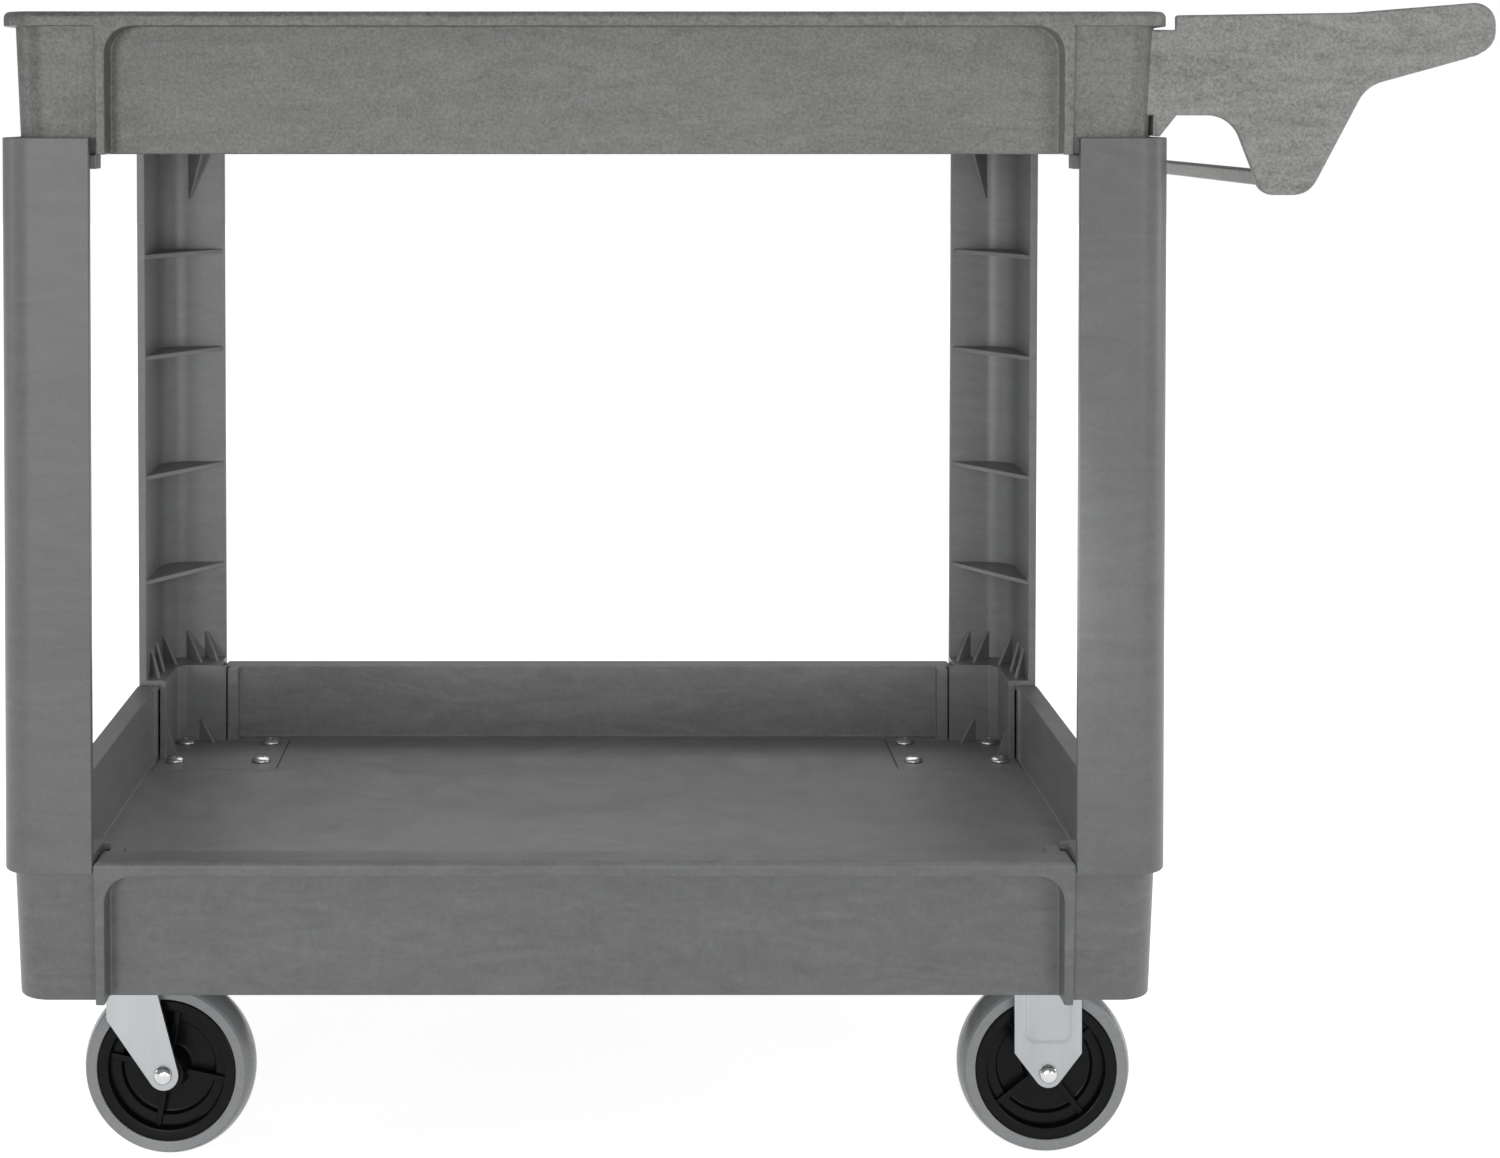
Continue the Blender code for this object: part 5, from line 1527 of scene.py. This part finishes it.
def make_looks():
    """Each finish's material and the record's slot for it."""
    made = {
        # Painted light: the upper tray's last number, 0.42, paints its tone lighter towards +X, and the
        # handle's, -0.05, paints it a little darker towards +X.
        "upper": foam_plastic("warm grey foam plastic with painted light", 0.224, WARM, 0.75, 1.75, 0.60, 0.42),
        # Painted shade: the lower tray is the same plastic as the upper one, but its tone, 0.190 against
        # 0.224, is painted darker for the shade under the upper tray.
        "lower": foam_plastic("green grey foam plastic with painted shade", 0.190, GREENISH, 0.50, 0.35, 0.60),
        "post": foam_plastic("smooth grey foam plastic", 0.184, GREENISH, 0.30, 0.25, 0.40),
        "handle": foam_plastic("light grey foam plastic", 0.338, BROWNISH, 0.85, 1.65, 0.80, -0.05),
        "zinc": zinc("bright zinc"),
        "chrome": bright_steel("polished steel", 0.66, 0.16, 120.0),
        "bolt": bright_steel("plated steel", 0.62, 0.34, 160.0),
        "hub": hub_plastic("black polypropylene"),
        "tyre": tyre_rubber("grey tread rubber"),
        "bushing": nylon("natural nylon"),
    }
    return {key: (look, SLOTS[key]) for key, look in made.items()}


# The object


def add_trays(looks):
    """The upper tray with the holes for the handle's bolts, and the lower tray."""
    upper = cut(tray(UPPER_RIM_Z, False), *handle_holes())
    finish(upper, "upper_tray", looks["upper"])
    finish(tray(LOWER_RIM_Z, True), "lower_tray", looks["lower"])


def add_posts(looks):
    """One post, mirrored to the four corners."""
    first = corner_post()
    for corner, (sx, sy) in CORNERS.items():
        finish(mirrored(copy_of(first), sx, sy), "post_" + corner, looks["post"])
    bpy.data.objects.remove(first)


def add_handle(looks):
    """The handle and the bolts through its flange."""
    finish(handle_moulding(), "handle", looks["handle"])
    slack = inset_at(BOLT_HEAD_RADIUS) - inset_at(0)
    for i, (y, z) in enumerate(handle_bolt_places(), 1):
        made = spun(screw(WALL - FIT + HANDLE_FLANGE + slack), math.pi / 2, "Y")
        seat = seat_at(z) + HANDLE_FLANGE + slack
        finish(moved(made, seat, y, z), f"handle_bolt_{i}", looks["bolt"])


def add_bolts(looks):
    """Four bolts through each foot plate, and two through each upper pocket."""
    foot_grip = LOWER_FLOOR_TOP - (MOUNT_HEIGHT - TOP_PLATE)
    pocket_z = UPPER_RIM_Z - WELL_DEPTH - POCKET_DEPTH
    pocket_grip = pocket_z - (TOP_PLATE_Z - FOOT_PLATE)
    caster_bolt = screw(foot_grip + NUT_HEIGHT + NUT_TAIL, foot_grip)
    post_bolt = screw(pocket_grip + SCREW_TAIL)
    spots = [(dx * CASTER_BOLTS_X / 2, dy * CASTER_BOLTS_Y / 2) for dx in (-1, 1) for dy in (-1, 1)]
    for corner, (sx, sy) in CORNERS.items():
        x = sx * CASTER_X
        y = sy * CASTER_Y
        for i, (dx, dy) in enumerate(spots, 1):
            made = moved(copy_of(caster_bolt), x + dx, y + dy, LOWER_FLOOR_TOP)
            finish(made, f"caster_bolt_{corner}_{i}", looks["bolt"])
        for i, step in enumerate((-1, 1), 1):
            dx = sx * step * CASTER_BOLTS_X / 2
            dy = sy * step * CASTER_BOLTS_Y / 2
            made = moved(copy_of(post_bolt), x + dx, y + dy, pocket_z)
            finish(made, f"post_bolt_{corner}_{i}", looks["bolt"])
    bpy.data.objects.remove(caster_bolt)
    bpy.data.objects.remove(post_bolt)


def hang(group, name, place, body, looks):
    """Puts copies of some caster parts at a place, all on one body."""
    for part, made, look in group:
        copy = copy_of(made)
        copy.data.transform(place)
        finish(copy, f"{name}_{part}", looks[look], body)


def add_casters(looks):
    """Swivel casters at the -X end and rigid ones at the +X end."""
    mount = [("top_plate", top_plate(), "zinc"), ("ball_race", ball_race(), "zinc")]
    fork = [("fork", raked_fork(), "zinc")]
    base = [("frame", rigid_frame(), "zinc")]
    pin = [("axle", axle(), "chrome")]
    wheel = [("tyre", tyre(), "tyre"), ("bushing", bushing(), "bushing")]
    swivel_hub = [("hub", hub(SWIVEL_HUB_TURN), "hub")]
    rigid_hub = [("hub", hub(RIGID_HUB_TURN), "hub")]
    for side, sy in (("front", -1), ("back", 1)):
        name = "swivel_caster_" + side
        stand = Matrix.Translation((-CASTER_X, sy * CASTER_Y, 0))
        turn = stand @ Matrix.Rotation(REST_STEER, 4, "Z")
        centre = turn @ Matrix.Translation((TRAIL, 0, WHEEL_RADIUS))
        hang(mount, name, stand, "cart", looks)
        hang(fork, name, turn, "swivel_" + side, looks)
        hang(pin, name, centre, "swivel_" + side, looks)
        hang(wheel + swivel_hub, name, centre, "swivel_wheel_" + side, looks)
        name = "rigid_caster_" + side
        stand = Matrix.Translation((CASTER_X, sy * CASTER_Y, 0))
        centre = Matrix.Translation((CASTER_X, sy * CASTER_Y, WHEEL_RADIUS))
        hang(base, name, stand, "cart", looks)
        hang(pin, name, centre, "cart", looks)
        hang(wheel + rigid_hub, name, centre, "rigid_wheel_" + side, looks)
    for _, made, _ in mount + fork + base + pin + wheel + swivel_hub + rigid_hub:
        bpy.data.objects.remove(made)


# The stage

FLOOR_GLOW = 0.86
AMBIENT = 0.29
LAMP_TARGET = (-0.1, 0, 0.45)
LAMPS = (
    ("inner", (-0.13, -0.30, 0.52), (0.70, 0.30), 1.2),
    ("front", (-0.1, -2.8, 0.62), (1.2, 0.8), 7),
    ("key", (-4.4, -13.6, 0.8), (3.2, 1.4), 330),
    ("fill", (6.5, -11.6, 0.8), (3.5, 1.4), 165),
    ("left", (-3.0, -0.6, 0.9), (0.6, 1.0), 6),
    ("right", (3.0, 0.0, 0.9), (0.6, 1.0), 12),
    ("back", (0.0, 2.0, 2.4), (2.0, 1.2), 24),
)
GLOW_START = 0.5
GLOW_END = 1.8
FLOOR_SIDE = 9
FLOOR_BACK = 14
FLOOR_DEPTH = 0.02
LENS = 59.04
FILM = 36
SHIFT = (0.1023, -0.316)
VIEW_END = 100
CAMERA_PLACE = (-0.10985, -2.0625, 0.774)


def add_floor():
    """A plain pale floor, white to the camera, that keeps the object's shadow."""
    made = box((-FLOOR_SIDE, FLOOR_SIDE), (-FLOOR_SIDE, FLOOR_BACK), (-FLOOR_DEPTH, 0))
    made.name = "floor"
    look, tree, shader = start("pale floor", 0.9)
    dust = noise(tree, places(tree), 3.0, 4.0)
    stops = [(0.0, grey(0.80)), (1.0, grey(0.84))]
    tree.links.new(shades(tree, dust, stops), shader.inputs["Base Color"])
    shader.inputs["Specular IOR Level"].default_value = 0.1
    rays = wire(tree, "LightPath").outputs
    seen = maths(tree, "MAXIMUM", rays["Is Camera Ray"], rays["Is Glossy Ray"])
    seen = maths(tree, "MAXIMUM", seen, rays["Is Transmission Ray"])
    away = wire(tree, "VectorMath", {0: places(tree)}, operation="LENGTH").outputs["Value"]
    inputs = {"Value": away, "From Min": GLOW_START, "From Max": GLOW_END, "To Min": FLOOR_GLOW}
    level = wire(tree, "MapRange", inputs, interpolation_type="SMOOTHSTEP").outputs["Result"]
    shader.inputs["Emission Color"].default_value = (1, 1, 1, 1)
    tree.links.new(maths(tree, "MULTIPLY", seen, level), shader.inputs["Emission Strength"])
    made.data.materials.append(look)


def add_world():
    """Even light all round, and a white background to the camera."""
    world = bpy.data.worlds.new("studio")
    bpy.context.scene.world = world
    world.use_nodes = True
    tree = world.node_tree
    back = tree.nodes["Background"]
    back.inputs["Color"].default_value = (1, 1, 1, 1)
    rays = wire(tree, "LightPath").outputs
    seen = maths(tree, "MAXIMUM", rays["Is Camera Ray"], rays["Is Transmission Ray"])
    tree.links.new(spread(tree, seen, AMBIENT, 1.0), back.inputs["Strength"])


def add_lamp(name, place, size, power):
    """An area lamp that the camera doesn't see, turned to the cart's middle."""
    lamp = bpy.data.lights.new(name, "AREA")
    lamp.shape = "RECTANGLE"
    lamp.size, lamp.size_y = size
    lamp.energy = power
    made = bpy.data.objects.new(name, lamp)
    made.location = place
    made.visible_camera = False
    away = Vector(place) - Vector(LAMP_TARGET)
    made.rotation_euler = away.to_track_quat("Z", "Y").to_euler()
    bpy.context.scene.collection.objects.link(made)


def add_stage():
    add_floor()
    add_world()
    for lamp in LAMPS:
        add_lamp(*lamp)


def add_camera():
    """The photograph's level view, with the shift that frames it."""
    data = bpy.data.cameras.new("camera")
    data.lens = LENS
    data.sensor_width = FILM
    data.shift_x, data.shift_y = SHIFT
    data.clip_end = VIEW_END
    made = bpy.data.objects.new("camera", data)
    made.location = CAMERA_PLACE
    made.rotation_euler = (math.pi / 2, 0, 0)
    bpy.context.scene.collection.objects.link(made)
    bpy.context.scene.camera = made
    bpy.context.scene.view_settings.view_transform = "Standard"


def main():
    looks = make_looks()
    add_trays(looks)
    add_posts(looks)
    add_handle(looks)
    add_bolts(looks)
    add_casters(looks)
    add_stage()
    add_camera()


main()
